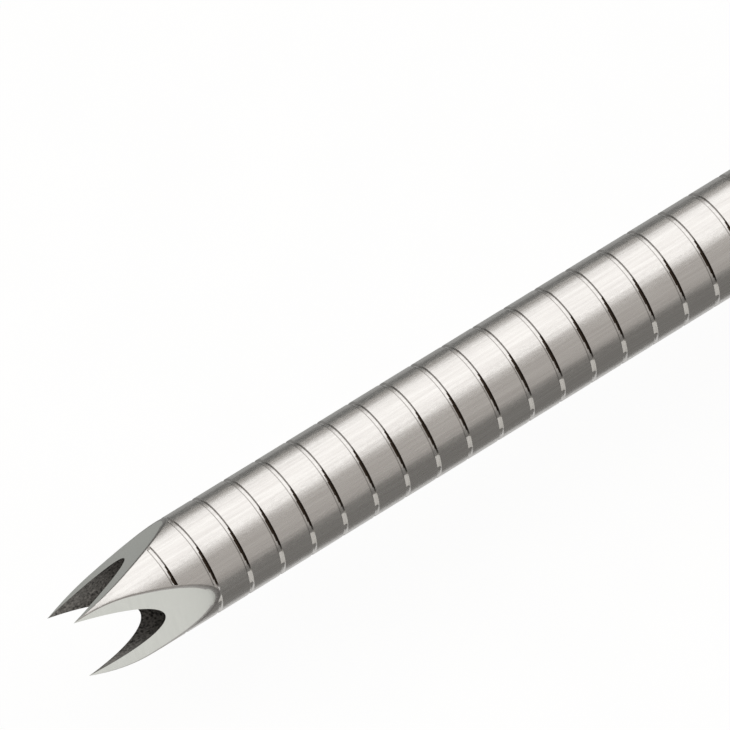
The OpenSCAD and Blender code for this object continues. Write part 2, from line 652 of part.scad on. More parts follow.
// Stylet and its cap, drawn back
module stylet_cap() color([0.10, 0.10, 0.11]) difference() {
    turned(cap_at, [[0, skirt_l - plug_nose_l, 0],
        [port_mouth_r - seat_gap - nose_taper_share * plug_nose_l - free_gap / 2,
            skirt_l - plug_nose_l, 0],
        [port_mouth_r - free_gap / 2, skirt_l, 0], [skirt_r, skirt_l, 0], [skirt_r, 0, 0],
        [cap_r, 0, edge], [cap_r, skirt_l + cap_l * 0.75, edge * 4],
        [cap_r * 0.7, skirt_l + cap_l, edge * 4], [0, skirt_l + cap_l, 0]]);
    around(cap_at + edge * 4, cap_flutes, cap_r + flute_r / 2)
        cylinder(h = skirt_l + cap_l * 0.6, r = flute_r, $fn = 24);
    at(cap_at) cylinder(h = rod_end - cap_at + seat_gap, r = stylet_r + seat_gap);
}

module stylet_rod() color([0.70, 0.71, 0.73])
    at(rod_start) cylinder(h = rod_end - rod_start, r = stylet_r);

// Free sheath
module sheath_lead() color([0.80, 0.88, 0.94])
    swept(lead_line, sheath_r, tube_sides, [[-1, 0, 0], [1, 0, 0]]);
module sheath_coil() color([0.80, 0.88, 0.94])
    swept(coil_line, sheath_r, coil_sides, [[1, 0, 0], [1, 0, 0]]);
module sheath_tail() color([0.80, 0.88, 0.94])
    swept(tail_line, sheath_r, tube_sides, [[1, 0, 0], [1, 0, 0]]);
module sheath_distal() color([0.80, 0.88, 0.94]) at_sheath_end() rotate_extrude() polygon(outline([
    [sheath_bore_r, -sheath_end_l, 0], [sheath_r, -sheath_end_l, 0], [sheath_r, 0, edge / 2],
    [sheath_bore_r, 0, 0]]));

// Cannula: a tube with V grooves, ground by flat faces that leave a prong between each two
module needle_cannula() color([0.80, 0.80, 0.79]) at_sheath_end() difference() {
    rotate_extrude() polygon(concat(
        [[needle_bore_r, -cannula_in], [needle_r, -cannula_in]],
        [for (k = [groove_count - 1 : -1 : 0])
            let (z = needle_out - first_groove - k * groove_pitch) each [
                [needle_r, z - groove_w / 2], [needle_r - groove_depth, z],
                [needle_r, z + groove_w / 2]]],
        [[needle_r, needle_out], [needle_bore_r, needle_out]]));
    for (k = [0 : prongs - 1])
        rotate([0, 0, prong_turn + 90 + (k + 0.5) * 360 / prongs])
            translate([0, 0, needle_out + crown_apex]) rotate([0, -bevel_angle, 0])
                translate([0, -needle_d, -crown_apex * 3])
                    cube([needle_d * 2, needle_d * 2, crown_apex * 6]);
}

module stylet_tip() color([0.70, 0.71, 0.73])
    at_sheath_end() translate([0, 0, needle_out - stylet_back - stylet_tip_l]) {
        cylinder(h = stylet_tip_l - stylet_point_l, r = stylet_r);
        translate([0, 0, stylet_tip_l - stylet_point_l])
            cylinder(h = stylet_point_l, r1 = stylet_r, r2 = stylet_r / 2);
    }

luer_collar();
adapter_hub();
adapter_tube();
front_collar();
lock_insert();
sheath_lock_screw();
adjuster_seal();
handle_shell_left();
handle_shell_right();
shell_screws();
grip_sleeve();
sheath_anchor();
sheath_handle();
guide_hypotube();
needle_rail();
rail_end_plug();
stop_ring();
stop_insert();
stop_screw();
plunger_sleeve();
wiper_seal();
plunger_flange();
needle_hub();
gauge_band();
luer_port();
needle_proximal();
stylet_cap();
stylet_rod();
sheath_lead();
sheath_coil();
sheath_tail();
sheath_distal();
needle_cannula();
stylet_tip();
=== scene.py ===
import math

import bmesh
import bpy
import numpy as np
from mathutils import Matrix, Vector


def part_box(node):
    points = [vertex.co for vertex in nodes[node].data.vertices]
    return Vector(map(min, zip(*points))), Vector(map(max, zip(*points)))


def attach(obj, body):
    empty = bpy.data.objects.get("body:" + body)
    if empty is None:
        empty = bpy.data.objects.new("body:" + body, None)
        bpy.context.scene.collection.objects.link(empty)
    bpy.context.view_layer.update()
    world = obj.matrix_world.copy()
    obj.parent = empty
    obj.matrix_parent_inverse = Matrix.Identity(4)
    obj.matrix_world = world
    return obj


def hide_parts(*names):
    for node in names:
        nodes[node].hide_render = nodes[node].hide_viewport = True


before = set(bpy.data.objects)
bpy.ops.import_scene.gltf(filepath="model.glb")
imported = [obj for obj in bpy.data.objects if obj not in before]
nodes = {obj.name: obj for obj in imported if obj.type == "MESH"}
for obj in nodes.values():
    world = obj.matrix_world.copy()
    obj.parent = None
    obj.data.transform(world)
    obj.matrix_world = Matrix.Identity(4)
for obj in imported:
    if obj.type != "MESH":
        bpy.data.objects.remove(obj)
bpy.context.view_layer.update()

mm = 0.001


# small helpers

def linear(code):
    # sRGB hex to linear light: c / 12.92 where dark, else ((c + 0.055) / 1.055) to the 2.4
    parts = [int(code[i:i + 2], 16) / 255 for i in (0, 2, 4)]
    return [c / 12.92 if c <= 0.04045 else ((c + 0.055) / 1.055) ** 2.4 for c in parts] + [1]


def unit(value):
    return np.clip(value, 0, 1)


def toScene(item):
    bpy.context.scene.collection.objects.link(item)
    return item


def faceVectors(mesh, name):
    # one vector for each face of a mesh: its center or its normal
    values = np.zeros(len(mesh.polygons) * 3)
    mesh.polygons.foreach_get(name, values)
    return values.reshape(-1, 3)


def faceAttribute(mesh, name, values):
    mesh.attributes.new(name, "FLOAT", "FACE").data.foreach_set("value", values)


def newPiece(name, points, faces, body=None, node=None, sharp=32, finish=None):
    # mesh in mm: doubles merged, faces turned outward, shaded smooth with sharp edges by angle
    mesh = bpy.data.meshes.new(name)
    mesh.from_pydata((np.asarray(points, float) * mm).tolist(), [], faces)
    work = bmesh.new()
    work.from_mesh(mesh)
    bmesh.ops.remove_doubles(work, verts=work.verts, dist=2e-7)
    bmesh.ops.dissolve_degenerate(work, edges=work.edges, dist=1e-8)
    bmesh.ops.recalc_face_normals(work, faces=work.faces)
    work.to_mesh(mesh)
    work.free()
    mesh.shade_smooth()
    mesh.set_sharp_from_angle(angle=math.radians(sharp))
    piece = toScene(bpy.data.objects.new(name, mesh))
    if finish:
        mesh.materials.append(finish)
    if body:
        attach(piece, body)
    if node:
        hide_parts(*([node] if isinstance(node, str) else node))
    return piece


def gridFaces(rows, columns, closeRows=False, closeColumns=False):
    # quads of a rows by columns grid of points, either way round closed or open
    i = np.arange(rows if closeRows else rows - 1)[:, None]
    j = np.arange(columns if closeColumns else columns - 1)[None, :]
    a, b = i * columns + j, i * columns + (j + 1) % columns
    c, d = ((i + 1) % rows) * columns + (j + 1) % columns, ((i + 1) % rows) * columns + j
    return np.stack([a, b, c, d], -1).reshape(-1, 4)


def outline(corners, arc=5, step=None):
    # closed outline from corners [radius, place, rounding]. A rounded corner is the quadratic
    # curve between the points a rounding away from it on its two sides. Runs longer than step
    # get points in between.
    p = np.array([c[:2] for c in corners], float)
    reach = [c[2] for c in corners]
    count, points = len(p), []
    for k in range(count):
        if reach[k] == 0:
            points.append(p[k])
            continue
        sides = []
        for other in (p[k - 1], p[(k + 1) % count]):
            run = np.linalg.norm(other - p[k])
            sides.append(p[k] + (other - p[k]) * min(reach[k], run * 0.49) / run)
        for t in np.linspace(0, 1, arc + 1):
            points.append(sides[0] * (1 - t) ** 2 + p[k] * 2 * t * (1 - t) + sides[1] * t ** 2)
    if step:
        full = []
        for a, b in zip(points, points[1:] + points[:1]):
            n = max(1, math.ceil(np.linalg.norm(b - a) / step))
            full += [a + (b - a) * t for t in np.arange(n) / n]
        points = full
    return np.array(points)


# materials: helpers first, then the object's own finishes

def addNode(tree, kind, inputs=None, stops=(), **settings):
    # adds a node; inputs maps a socket's name or number to a value or to another socket, and
    # stops are the places and colours of a colour ramp
    node = tree.nodes.new("ShaderNode" + kind)
    for key, value in settings.items():
        setattr(node, key, value)
    for k, (at, colour) in enumerate(stops):
        stop = node.color_ramp.elements[k] if k < 2 else node.color_ramp.elements.new(at)
        stop.position, stop.color = at, colour
    for key, value in (inputs or {}).items():
        socket = node.inputs[key]
        if isinstance(value, bpy.types.NodeSocket):
            tree.links.new(value, socket)
        else:
            socket.default_value = value
    return node


def emptyTree(owner):
    owner.use_nodes = True
    owner.node_tree.nodes.clear()
    return owner.node_tree


def startMaterial(name, shader):
    # material with only a Principled shader; its even values are set on the sockets
    made = bpy.data.materials.new(name)
    tree = emptyTree(made)
    surface = addNode(tree, "BsdfPrincipled", shader)
    addNode(tree, "OutputMaterial", {"Surface": surface.outputs[0]})
    place = addNode(tree, "TexCoord").outputs["Object"]
    return made, tree, surface, place


def grain(tree, place, size, detail=2, stretch=(1, 1, 1)):
    # noise whose grains are size mm across, drawn out along an axis by stretch
    across = addNode(tree, "Mapping", {"Vector": place, "Scale": [1 / s for s in stretch]})
    return addNode(tree, "TexNoise", {"Vector": across.outputs[0],
        "Scale": 1 / (size * mm), "Detail": detail}).outputs["Fac"]


def toneStops(dark, light):
    # from a dark hex colour to a light one over the middle of a noise's range
    return (0.3, linear(dark)), (0.7, linear(light))


def dress(tree, surface, cloud, colours, haze, gloss, relief=None, depth=0):
    # base colour between two hex colours as the cloud pattern says, roughness between two
    # values as the haze pattern says and, where relief is given, relief that is depth mm high
    skin = addNode(tree, "ValToRGB", {"Fac": cloud}, toneStops(*colours))
    rough = addNode(tree, "MapRange", {"Value": haze, "From Min": 0.3, "From Max": 0.7,
        "To Min": gloss[0], "To Max": gloss[1]})
    tree.links.new(skin.outputs[0], surface.inputs["Base Color"])
    tree.links.new(rough.outputs[0], surface.inputs["Roughness"])
    if relief is not None:
        bump = addNode(tree, "Bump", {"Height": relief, "Distance": depth * mm,
            "Strength": 1.0})
        tree.links.new(bump.outputs[0], surface.inputs["Normal"])


def layOver(tree, surface, attribute, colour):
    # lays a colour over the base colour, as far as the attribute on the mesh's faces says
    share = addNode(tree, "Attribute", attribute_name=attribute).outputs["Fac"]
    base = surface.inputs["Base Color"]
    both = addNode(tree, "Mix", {"Factor": share, 6: base.links[0].from_socket, 7: colour},
                   data_type="RGBA")
    tree.links.new(both.outputs[2], base)
    return share


def sparkMoulded(name, dark, light, rough=0.45, size=0.22, depth=0.012):
    # ABS from a spark-eroded mould: even colour, a soft sheen broken by a leathery grain
    made, tree, surface, place = startMaterial(name, {"IOR": 1.53})
    fine = grain(tree, place, size, 3)
    dress(tree, surface, grain(tree, place, 9), (dark, light), fine,
          (rough - 0.06, rough + 0.08), fine, depth)
    return made


def softMoulded(name, dark, light):
    # thermoplastic elastomer: matt, slightly dusty sheen, pebbled at a third of a millimetre
    made, tree, surface, place = startMaterial(name, {"IOR": 1.5, "Sheen Weight": 0.25,
        "Sheen Roughness": 0.5, "Specular IOR Level": 0.35})
    pebble = addNode(tree, "TexVoronoi", {"Vector": place, "Scale": 1 / (0.4 * mm)})
    dress(tree, surface, grain(tree, place, 6, 3), (dark, light), grain(tree, place, 1.5),
          (0.6, 0.78), pebble.outputs["Distance"], 0.03)
    return made


def waxyExtruded(name, dark, light):
    # PTFE tube: milky, waxy gloss, faint die lines and clouds
    made, tree, surface, place = startMaterial(name, {"IOR": 1.38, "Coat Weight": 0.3,
        "Coat Roughness": 0.2, "Subsurface Weight": 0.15, "Subsurface Radius": [0.6, 0.8, 1.0],
        "Subsurface Scale": 0.4 * mm})
    dress(tree, surface, grain(tree, place, 2.5, 3), (dark, light), grain(tree, place, 0.5),
          (0.28, 0.42), grain(tree, place, 0.3), 0.006)
    return made


def drawnMetal(name, dark, light, rough=0.25, stretch=(30, 1, 1), size=0.05, depth=0.002):
    # metal drawn through a die or turned: streaks along the work, a narrow soft gloss
    made, tree, surface, place = startMaterial(name, {"Metallic": 1.0})
    streak = grain(tree, place, size, 3, stretch)
    dress(tree, surface, streak, (dark, light), streak, (rough - 0.05, rough + 0.08), streak,
          depth)
    return made


def clearMoulded(name):
    # polished polycarbonate: clear with a faint grey cast and a trace of flow lines
    made, tree, surface, place = startMaterial(name, {"IOR": 1.585, "Transmission Weight": 0.92})
    dress(tree, surface, grain(tree, place, 3), ("dfe6e9", "eef2f3"), grain(tree, place, 0.8),
          (0.04, 0.12))
    return made


def printedInk(name, code):
    # pad-printed ink: flat, a little rough at its edges
    made, tree, surface, place = startMaterial(name, {"IOR": 1.5})
    dress(tree, surface, grain(tree, place, 0.2), (code, "3c4046"), grain(tree, place, 0.15),
          (0.5, 0.65))
    return made


# the cannula's steel: drawn tube with a satin skin, with painted shade in and beside its grooves
needleSteel = {"skin": ("d8d6d4", "e5e4e2"), "rough": 0.27, "grainSize": 0.012,
               "grainDepth": 0.00025, "grooveShade": "40372f", "paintedHighlightColour": "f4f4f2"}


def satinNeedle():
    # drawn stainless: grains of about 10 microns, streaks along the tube. The groove attribute lays
    # painted shade on it, and a second attribute paints a highlight on it that is pale and matt.
    made, tree, surface, place = startMaterial("satinDrawnSteel", {"Metallic": 1.0})
    fine, rough = grain(tree, place, needleSteel["grainSize"], 2, (3, 1, 1)), needleSteel["rough"]
    dress(tree, surface, grain(tree, place, 0.02, 2, (30, 1, 1)), needleSteel["skin"], fine,
          (rough - 0.04, rough + 0.06), fine, needleSteel["grainDepth"])
    layOver(tree, surface, "groove", linear(needleSteel["grooveShade"]))
    burr = layOver(tree, surface, "burr", linear(needleSteel["paintedHighlightColour"]))
    # the painted highlight is not metal, so that it shows pale
    solid = addNode(tree, "Math", {0: 1.0, 1: burr}, operation="SUBTRACT")
    tree.links.new(solid.outputs[0], surface.inputs["Metallic"])
    return made


def groundBevel():
    # faces ground by a fine wheel: smooth, pale, slightly green, faint cross lines
    made, tree, surface, place = startMaterial("groundBevelSteel", {"Metallic": 1.0})
    line = grain(tree, place, 0.02, 2, (1, 8, 8))
    dress(tree, surface, line, ("dfe1dc", "e6e8e3"), line, (0.2, 0.26), line, 0.0002)
    return made


def lumenWall():
    # the bore as drawn and sand-blown: coarse and granular, coloured dark as painted shade. A face
    # attribute paints light into it toward its mouth, with a lighter tone of the same grain.
    made, tree, surface, place = startMaterial("granularBoreSteel", {"Metallic": 0.6})
    grit = grain(tree, place, 0.018, 3)
    dress(tree, surface, grit, ("1c1b1a", "a3a19d"), grit, (0.5, 0.75), grit, 0.004)
    # painted light: the lit tone laid over the dark one toward the bore's mouth
    paintedLitTone = addNode(tree, "ValToRGB", {"Fac": grit}, toneStops("8c8a87", "d2d0cc"))
    layOver(tree, surface, "paintedDaylight", paintedLitTone.outputs[0])
    return made


whiteAbs = sparkMoulded("sparkTexturedWhiteAbs", "efeeeb", "f4f3f0")
blueAbs = sparkMoulded("sparkTexturedBlueAbs", "255d9c", "2b66a8", 0.42)
blackSatin = sparkMoulded("satinBlackAbs", "0f0f10", "151517", 0.5, 0.4, 0.004)
blackAbs = sparkMoulded("semiGlossBlackAbs", "1a1b1d", "222426", 0.3, 0.3, 0.006)
whiteNylon = sparkMoulded("smoothWhiteNylon", "f0f0ee", "f5f5f3", 0.36, 0.5, 0.006)
blueElastomer = softMoulded("pebbledBlueElastomer", "274f86", "2f5b96")
blackRubber = softMoulded("smoothBlackRubber", "141416", "1d1d20")
ptfe = waxyExtruded("waxyPtfe", "a9cbe0", "bddbea")
steelTube = drawnMetal("drawnSteelTube", "aeaca8", "cfcdc9")
nitinol = drawnMetal("polishedNitinol", "8f8c86", "b5b1aa", 0.2)
screwSteel = drawnMetal("plainScrewSteel", "a7a7a6", "c4c4c3", 0.3, (1, 8, 8), 0.15)
insertBrass = drawnMetal("turnedBrass", "a8823c", "c9a256", 0.28, (8, 8, 1), 0.15)
anchorResin = sparkMoulded("pottedGreyResin", "a9abae", "b6b8ba", 0.5)
clearPart = clearMoulded("clearPolycarbonate")
markInk = printedInk("greyMarkInk", "2a2d32")
print("materials made")


# camera: a long macro lens above the needle's tip, looking down at the floor

camera = {
    "leanOnScreen": 31.5,      # the needle's axis on the picture, degrees from level
    "towardCamera": 17.5,      # how far the tip leans out of the picture's plane, degrees
    "pixels": 730,
    "needlePixels": 111.2,     # the needle's width in the picture
    "apexPixel": (-3.0, 684.2),  # where the ground faces would meet on the axis
    "lens": 800.0,
    "sensor": 36.0,
}
needle = {  # lengths in mm, turns in degrees, s is measured back from the prongs' points
    "tip": (128.0, 162.0, 0.9), "radius": 0.36, "bore": 0.275, "bevel": 13.4, "turn": 80.0,
    "prongs": 3, "out": 20.0, "hidden": 72.0, "columns": 300, "shaftColumns": 72,
    "crownGrooves": 24, "crownLength": 6.6,
    "pitch": 0.25, "grooveWidth": 0.034, "grooveWall": 0.007, "grooveDepth": 0.012,
    "grooves": 60, "firstGroove": 0.695, "grooveLip": 0.004,
    "nose": 0.42,                                 # the skin is honed down over this length
    "edgeDepth": 0.012, "edgeLength": 0.02,       # rounding of the ground faces' edges
    "edgeShare": 0.45, "edgeClear": 0.03,         # its most, as a share of the wall; grooveless
    "facing": 63.9,                               # turn of the skin that faces the camera
    "paintedShadeSpan": (0.3, 0.86), "paintedShadeWidth": 0.62,     # painted shadow, a crescent on the grooves' floors, as shares across the tube
    "burr": (0.83, 0.93),                         # where each groove ends in a painted highlight, pale and matt
    "upperShade": 0.4, "lipShade": 0.5, "edgeShade": 0.34,  # how far these are darkened, as painted shade
    "paintedDaylight": (1.1, 0.55),                      # painted light in the bore at s = 0 and its reach
}
needle["cot"] = 1 / math.tan(math.radians(needle["bevel"]))
needle["apex"] = needle["bore"] * math.cos(math.pi / needle["prongs"]) * needle["cot"]


def makeCamera():
    # right and up are set so that the needle's axis shows at leanOnScreen and comes forward
    # by towardCamera; the target puts the faces' meeting point on apexPixel
    lean, out = math.radians(camera["leanOnScreen"]), math.radians(camera["towardCamera"])
    rightX = -math.cos(out) * math.cos(lean)
    right = Vector((rightX, math.sqrt(1 - rightX ** 2), 0))
    upX = -math.cos(out) * math.sin(lean)
    upY = -upX * right.x / right.y
    up = Vector((upX, upY, math.sqrt(1 - upX ** 2 - upY ** 2)))
    back = right.cross(up)
    perPixel = 2 * needle["radius"] / camera["needlePixels"]
    middle = camera["pixels"] / 2
    tip = Vector(needle["tip"]) + Vector((needle["apex"], 0, 0))
    target = (tip + right * (middle - camera["apexPixel"][0]) * perPixel
              + up * (camera["apexPixel"][1] - middle) * perPixel)
    away = camera["pixels"] * perPixel * camera["lens"] / camera["sensor"]
    data = bpy.data.cameras.new("macroCamera")
    data.lens, data.sensor_width = camera["lens"], camera["sensor"]
    data.clip_start, data.clip_end = 10 * mm, 5
    shot = toScene(bpy.data.objects.new("macroCamera", data))
    turn = Matrix((right, up, back)).transposed()
    shot.matrix_world = Matrix.Translation((target + back * away) * mm) @ turn.to_4x4()
    bpy.context.scene.camera = shot


makeCamera()
print("camera set")


# the sheath: its route as in the source, in mm, carried as one tube with an open end

sheath = {"exitHeight": 15.0, "radius": 0.9, "bore": 0.5, "lip": 0.12, "lay": 0.9,
          "row": 162.0, "end": (12.0, 96.0), "sides": 28, "spanSteps": 6, "straightPoints": 33}
coil = {"centre": (-60.0, 92.0), "radius": 70.0, "turns": 2, "step": 2.5, "climb": 2.3,
        "points": 96}
leadPoints = [(-198, 0, 14.9), (-212, 2, 13.4), (-227, 8, 10.2), (-243, 22, 5.8),
              (-254, 41, 2.5), (-258, 62, 1.1), (-258, 81, 0.9), (-258, 100, 0.9),
              (-254, 121, 0.9), (-240, 144, 0.9), (-218, 158, 0.9), (-196, 162, 0.9),
              (-164, 162, 0.9), (-130, 162, 0.9), (-96, 162, 0.9)]
tailPoints = [(-44, 162, 3.2), (-28, 162, 2.9), (-14, 162, 1.7), (0, 162, 1.0)]


def smoothLine(points, steps):
    # Catmull-Rom cubic through the points: each span's slopes follow its neighbours
    p = np.array(points, float)
    p = np.vstack([p[:1], p, p[-1:]])
    t = (np.arange(steps) / steps)[None, :, None]
    a, b, c, d = (p[k:len(p) - 3 + k, None] for k in range(4))
    line = (b * 2 + (c - a) * t + (a * 2 - b * 5 + c * 4 - d) * t ** 2
            + (b * 3 - c * 3 + d - a) * t ** 3) / 2
    return np.vstack([line.reshape(-1, 3), p[-1:]])


def coilLine():
    # two turns: the radius drops a step over the first and grows again over the second, and
    # the height climbs one tube where they cross
    (x, y), ahead = coil["centre"], 2 * sheath["radius"]
    f = np.arange(coil["points"] * coil["turns"] + 1) / coil["points"]
    r = coil["radius"] - coil["step"] * np.where(f < 1, f, coil["turns"] - f)
    t = unit((f - 0.75) / 0.5)
    z = sheath["lay"] + coil["climb"] * t * t * (3 - 2 * t)
    a = 2 * math.pi * f
    turns = np.stack([x + r * np.sin(a), y + r * np.cos(a), z], 1)
    first = x - ahead, sheath["row"], sheath["lay"]
    last = x + ahead, sheath["row"], sheath["lay"] + coil["climb"]
    return np.vstack([first, turns, last])


def sheathRoute():
    nose = (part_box("adapter_hub")[0].x / mm, 0, sheath["exitHeight"])
    coiled, steps = coilLine(), sheath["spanSteps"]
    bend = (sheath["end"][0], sheath["row"], sheath["lay"])
    lead = smoothLine([nose] + leadPoints + [coiled[0]], steps)
    tail = smoothLine([coiled[-1]] + tailPoints + [bend], steps)
    straight = np.linspace(bend, (sum(sheath["end"]), sheath["row"], sheath["lay"]),
                           sheath["straightPoints"])
    return np.vstack([lead[:-1], coiled[:-1], tail[:-1], straight])


def tubeAlong(line, radii, sides):
    # ring of points about each point of a line, in the plane square to the line there
    ahead = np.gradient(line, axis=0)
    ahead[0], ahead[-1] = (-1, 0, 0), (1, 0, 0)
    ahead /= np.linalg.norm(ahead, axis=1)[:, None]
    side = np.cross([0, 0, 1], ahead)
    side /= np.linalg.norm(side, axis=1)[:, None]
    up = np.cross(ahead, side)
    a = np.arange(sides) * 2 * math.pi / sides
    ring = side[:, None] * np.cos(a)[None, :, None] + up[:, None] * np.sin(a)[None, :, None]
    return line[:, None] + ring * np.asarray(radii, float)[:, None, None]


def makeSheath():
    # rings along the outside to a rounded lip and back along the open end's bore, closed by
    # a point at both ends
    route = sheathRoute()
    sides, lip = sheath["sides"], sheath["lip"]
    outside = np.vstack([route[:-1], route[-1:] - [[lip, 0, 0]], route[-1:]])
    radii = np.full(len(outside), sheath["radius"])
    radii[-1] -= lip
    bore = route[-sheath["straightPoints"]:]
    boreRings = tubeAlong(bore, np.full(len(bore), sheath["bore"]), sides)[::-1]
    start, end = (np.repeat(point[None, None], sides, 1) for point in (outside[0], bore[0]))
    points = np.concatenate([start, tubeAlong(outside, radii, sides), boreRings, end])
    tube = newPiece("sheathTube", points.reshape(-1, 3),
                    gridFaces(len(points), sides, False, True).tolist(), "grip",
                    ["sheath_lead", "sheath_coil", "sheath_tail", "sheath_distal"],
                    finish=ptfe)
    length = float(np.linalg.norm(np.diff(route, axis=0), axis=1).sum())
    print("sheath length, mm", round(length, 1))
    return tube, route, length


# the cannula: a grooved wall, three ground faces, the bore, all on one set of columns

def faceMiddles():
    # turns at which the ground faces are deepest
    return [math.radians(needle["turn"] + (k + 0.5) * 360 / needle["prongs"])
            for k in range(needle["prongs"])]


def cutAt(turn, r):
    # how far behind the prongs' points the ground faces cut the tube, at a radius and turn:
    # the deepest of the planes -apex + r cos(turn - middle of face) / tan(bevel)
    planes = [-needle["apex"] + r * np.cos(turn - middle) * needle["cot"]
              for middle in faceMiddles()]
    return np.maximum(np.maximum(planes[0], planes[1]), planes[2])


def skinRadius(s, share=1):
    # tube radius s mm behind the points: honed round over the first nose mm, then
    # flat-bottomed grooves with sloping walls, as deep as the share says
    k = np.clip(np.round((s - needle["firstGroove"]) / needle["pitch"]), 0, needle["grooves"] - 1)
    off = np.abs(s - needle["firstGroove"] - k * needle["pitch"])
    wall = unit((needle["grooveWidth"] / 2 - off) / needle["grooveWall"])
    nose = unit(1 - s / needle["nose"]) ** 2 * (needle["radius"] - needle["bore"])
    return needle["radius"] - needle["grooveDepth"] * wall * share - nose


def grooveRows(start, end, grooves, crown):
    # places of the rows of points down the outside: at the edges and floor of each groove,
    # and a few before the first and after the last
    half, wall, lip = needle["grooveWidth"] / 2, needle["grooveWall"], needle["grooveLip"]
    middles = needle["firstGroove"] + np.arange(*grooves) * needle["pitch"]
    floor = np.linspace(-half + wall, half - wall, 5)
    steps = np.concatenate([[-half - lip, -half], floor, [half, half + lip]])
    places = (middles[:, None] + steps).ravel()
    before = np.linspace(start, middles[0] - half - 0.02, 16 if crown else 2)
    after = np.array([end]) if crown else np.linspace(places[-1] + 2, end, 6)
    return np.unique(np.concatenate([before, places, after]))[:, None]


def needleStretch(name, start, end, grooves, columns, crown):
    # the cannula from start to end mm behind the points: rows of points down the outside,
    # across the ground faces or a flat end, and up the bore. The crown's edges are quadratic
    # curves between skin and faces, and its grooves run out just before them.
    turn = math.radians(needle["turn"]) + np.arange(columns) * 2 * math.pi / columns
    s = grooveRows(start, end, grooves, crown)
    cut = cutAt if crown else (lambda t, r: np.full(np.broadcast(t, r).shape, start))
    edge = cut(turn, needle["radius"])[None]
    for _ in range(40):  # the skin's radius and the cut's place settle together
        edge = cut(turn, skinRadius(edge, 0))
    corner, bore, soft = skinRadius(edge, 0), needle["bore"], 0
    if crown:
        soft = np.clip((corner - bore) * needle["edgeShare"], 0, needle["edgeDepth"])
    outerS = np.maximum(s, edge + (needle["edgeLength"] * soft / needle["edgeDepth"]))
    clear = (outerS - edge - needle["edgeLength"]) / needle["edgeClear"]
    outerR = skinRadius(outerS, unit(clear) if crown else 1)
    bevelR = (corner - soft) + (bore - corner + soft) * np.linspace(0, 1, 8)[:, None]
    bevelS = cut(turn[None], bevelR)
    if crown:
        w = np.linspace(0, 1, 6)[1:-1, None]
        roundS, roundR = (a[:1] * (1 - w) ** 2 + b * 2 * w * (1 - w) + c[:1] * w ** 2
                          for a, b, c in ((outerS, edge, bevelS), (outerR, corner, bevelR)))
        bevelS, bevelR = np.vstack([roundS, bevelS]), np.vstack([roundR, bevelR])
    innerS = np.maximum(np.linspace(start, end, 9)[:, None], bevelS[-1][None])
    allS = np.vstack([outerS[::-1], bevelS, innerS])
    allR = np.vstack([outerR[::-1], bevelR, np.full_like(innerS, bore)])
    t = np.repeat(turn[None], len(allS), 0)
    tip = needle["tip"]
    points = np.stack([tip[0] - allS, tip[1] + allR * np.cos(t), tip[2] + allR * np.sin(t)], -1)
    piece = newPiece(name, points.reshape(-1, 3), gridFaces(*allS.shape, True, True).tolist(),
                     "needle_tip", "needle_cannula", sharp=22)
    for finish in needleFinishes:
        piece.data.materials.append(finish)
    paintNeedle(piece.data)
    return piece


def paintNeedle(mesh):
    # ground faces and bore get finishes of their own. The groove attribute is painted shade, how
    # dark
    # a face is made: the far part of a groove's floor gets a painted shadow in a crescent that
    # swells as a sine across the tube; walls, lips and rounded edges get painted shade. A second
    # attribute marks each groove's end for a painted highlight.
    centre, normal = faceVectors(mesh, "center") / mm - needle["tip"], faceVectors(mesh, "normal")
    s, r = -centre[:, 0], np.hypot(centre[:, 1], centre[:, 2])
    turn = np.arctan2(centre[:, 2], centre[:, 1])
    out = (normal[:, 1] * centre[:, 1] + normal[:, 2] * centre[:, 2]) / r
    deep = s - cutAt(turn, r)
    bevel = math.radians(needle["bevel"])
    planes = [[math.sin(bevel), math.cos(bevel) * math.cos(middle),
               math.cos(bevel) * math.sin(middle)] for middle in faceMiddles()]
    onBevel = (np.abs(deep) < 0.01) & ((normal @ np.transpose(planes)).max(1) > 0.999)
    inBore = (r < needle["bore"] + 0.003) & (out < -0.5)
    kind = np.where(inBore, 2, np.where(onBevel, 1, 0)).astype(np.int32)
    mesh.polygons.foreach_set("material_index", kind)
    side = turn - math.radians(needle["facing"])
    across = np.where(np.cos(side) > 0, 0.5 - 0.5 * np.sin(side), -1)
    place = (s - needle["firstGroove"]) / needle["pitch"]
    inside = (place - np.round(place)) * needle["pitch"] / needle["grooveWidth"] + 0.5
    low = np.where(s > needle["nose"], needle["radius"] - r, 0) / needle["grooveDepth"]
    clear = (kind > 0) | (low <= 0.2) | (low >= 1.2) | (np.abs(deep) < needle["edgeClear"])
    # painted shadow: a crescent over the far part of each groove's floor, and painted shade on its
    # walls
    start, end = needle["paintedShadeSpan"]
    swell = np.sin(math.pi * unit((across - start) / (end - start)))
    onWall = (np.abs(normal[:, 0]) > 0.5) & (across < end)
    inPaintedShade = inside > 1 - needle["paintedShadeWidth"] * swell
    shade = np.where(inPaintedShade, unit(swell * 2), onWall * needle["upperShade"])
    shade[clear] = 0
    # painted shade on the lip before each groove and on the rounded edges of the ground faces
    lip = needle["grooveLip"] / needle["grooveWidth"]
    onLip = (inside > -lip - 0.003) & (inside < 0) & (deep > needle["edgeClear"])
    shade[(kind == 0) & onLip & (across < end)] = needle["lipShade"]
    shade[(kind == 0) & (deep < needle["edgeLength"] - 0.001)] = needle["edgeShade"]
    faceAttribute(mesh, "groove", shade)
    # painted highlight: each groove's end made pale and matt
    first, last = needle["burr"]
    faceAttribute(mesh, "burr", ((across > first) & (across < last) & ~clear) * 1.0)
    # painted light in the bore, brightest at its mouth
    bright, reach = needle["paintedDaylight"]
    faceAttribute(mesh, "paintedDaylight", unit(bright - s / reach) * inBore)


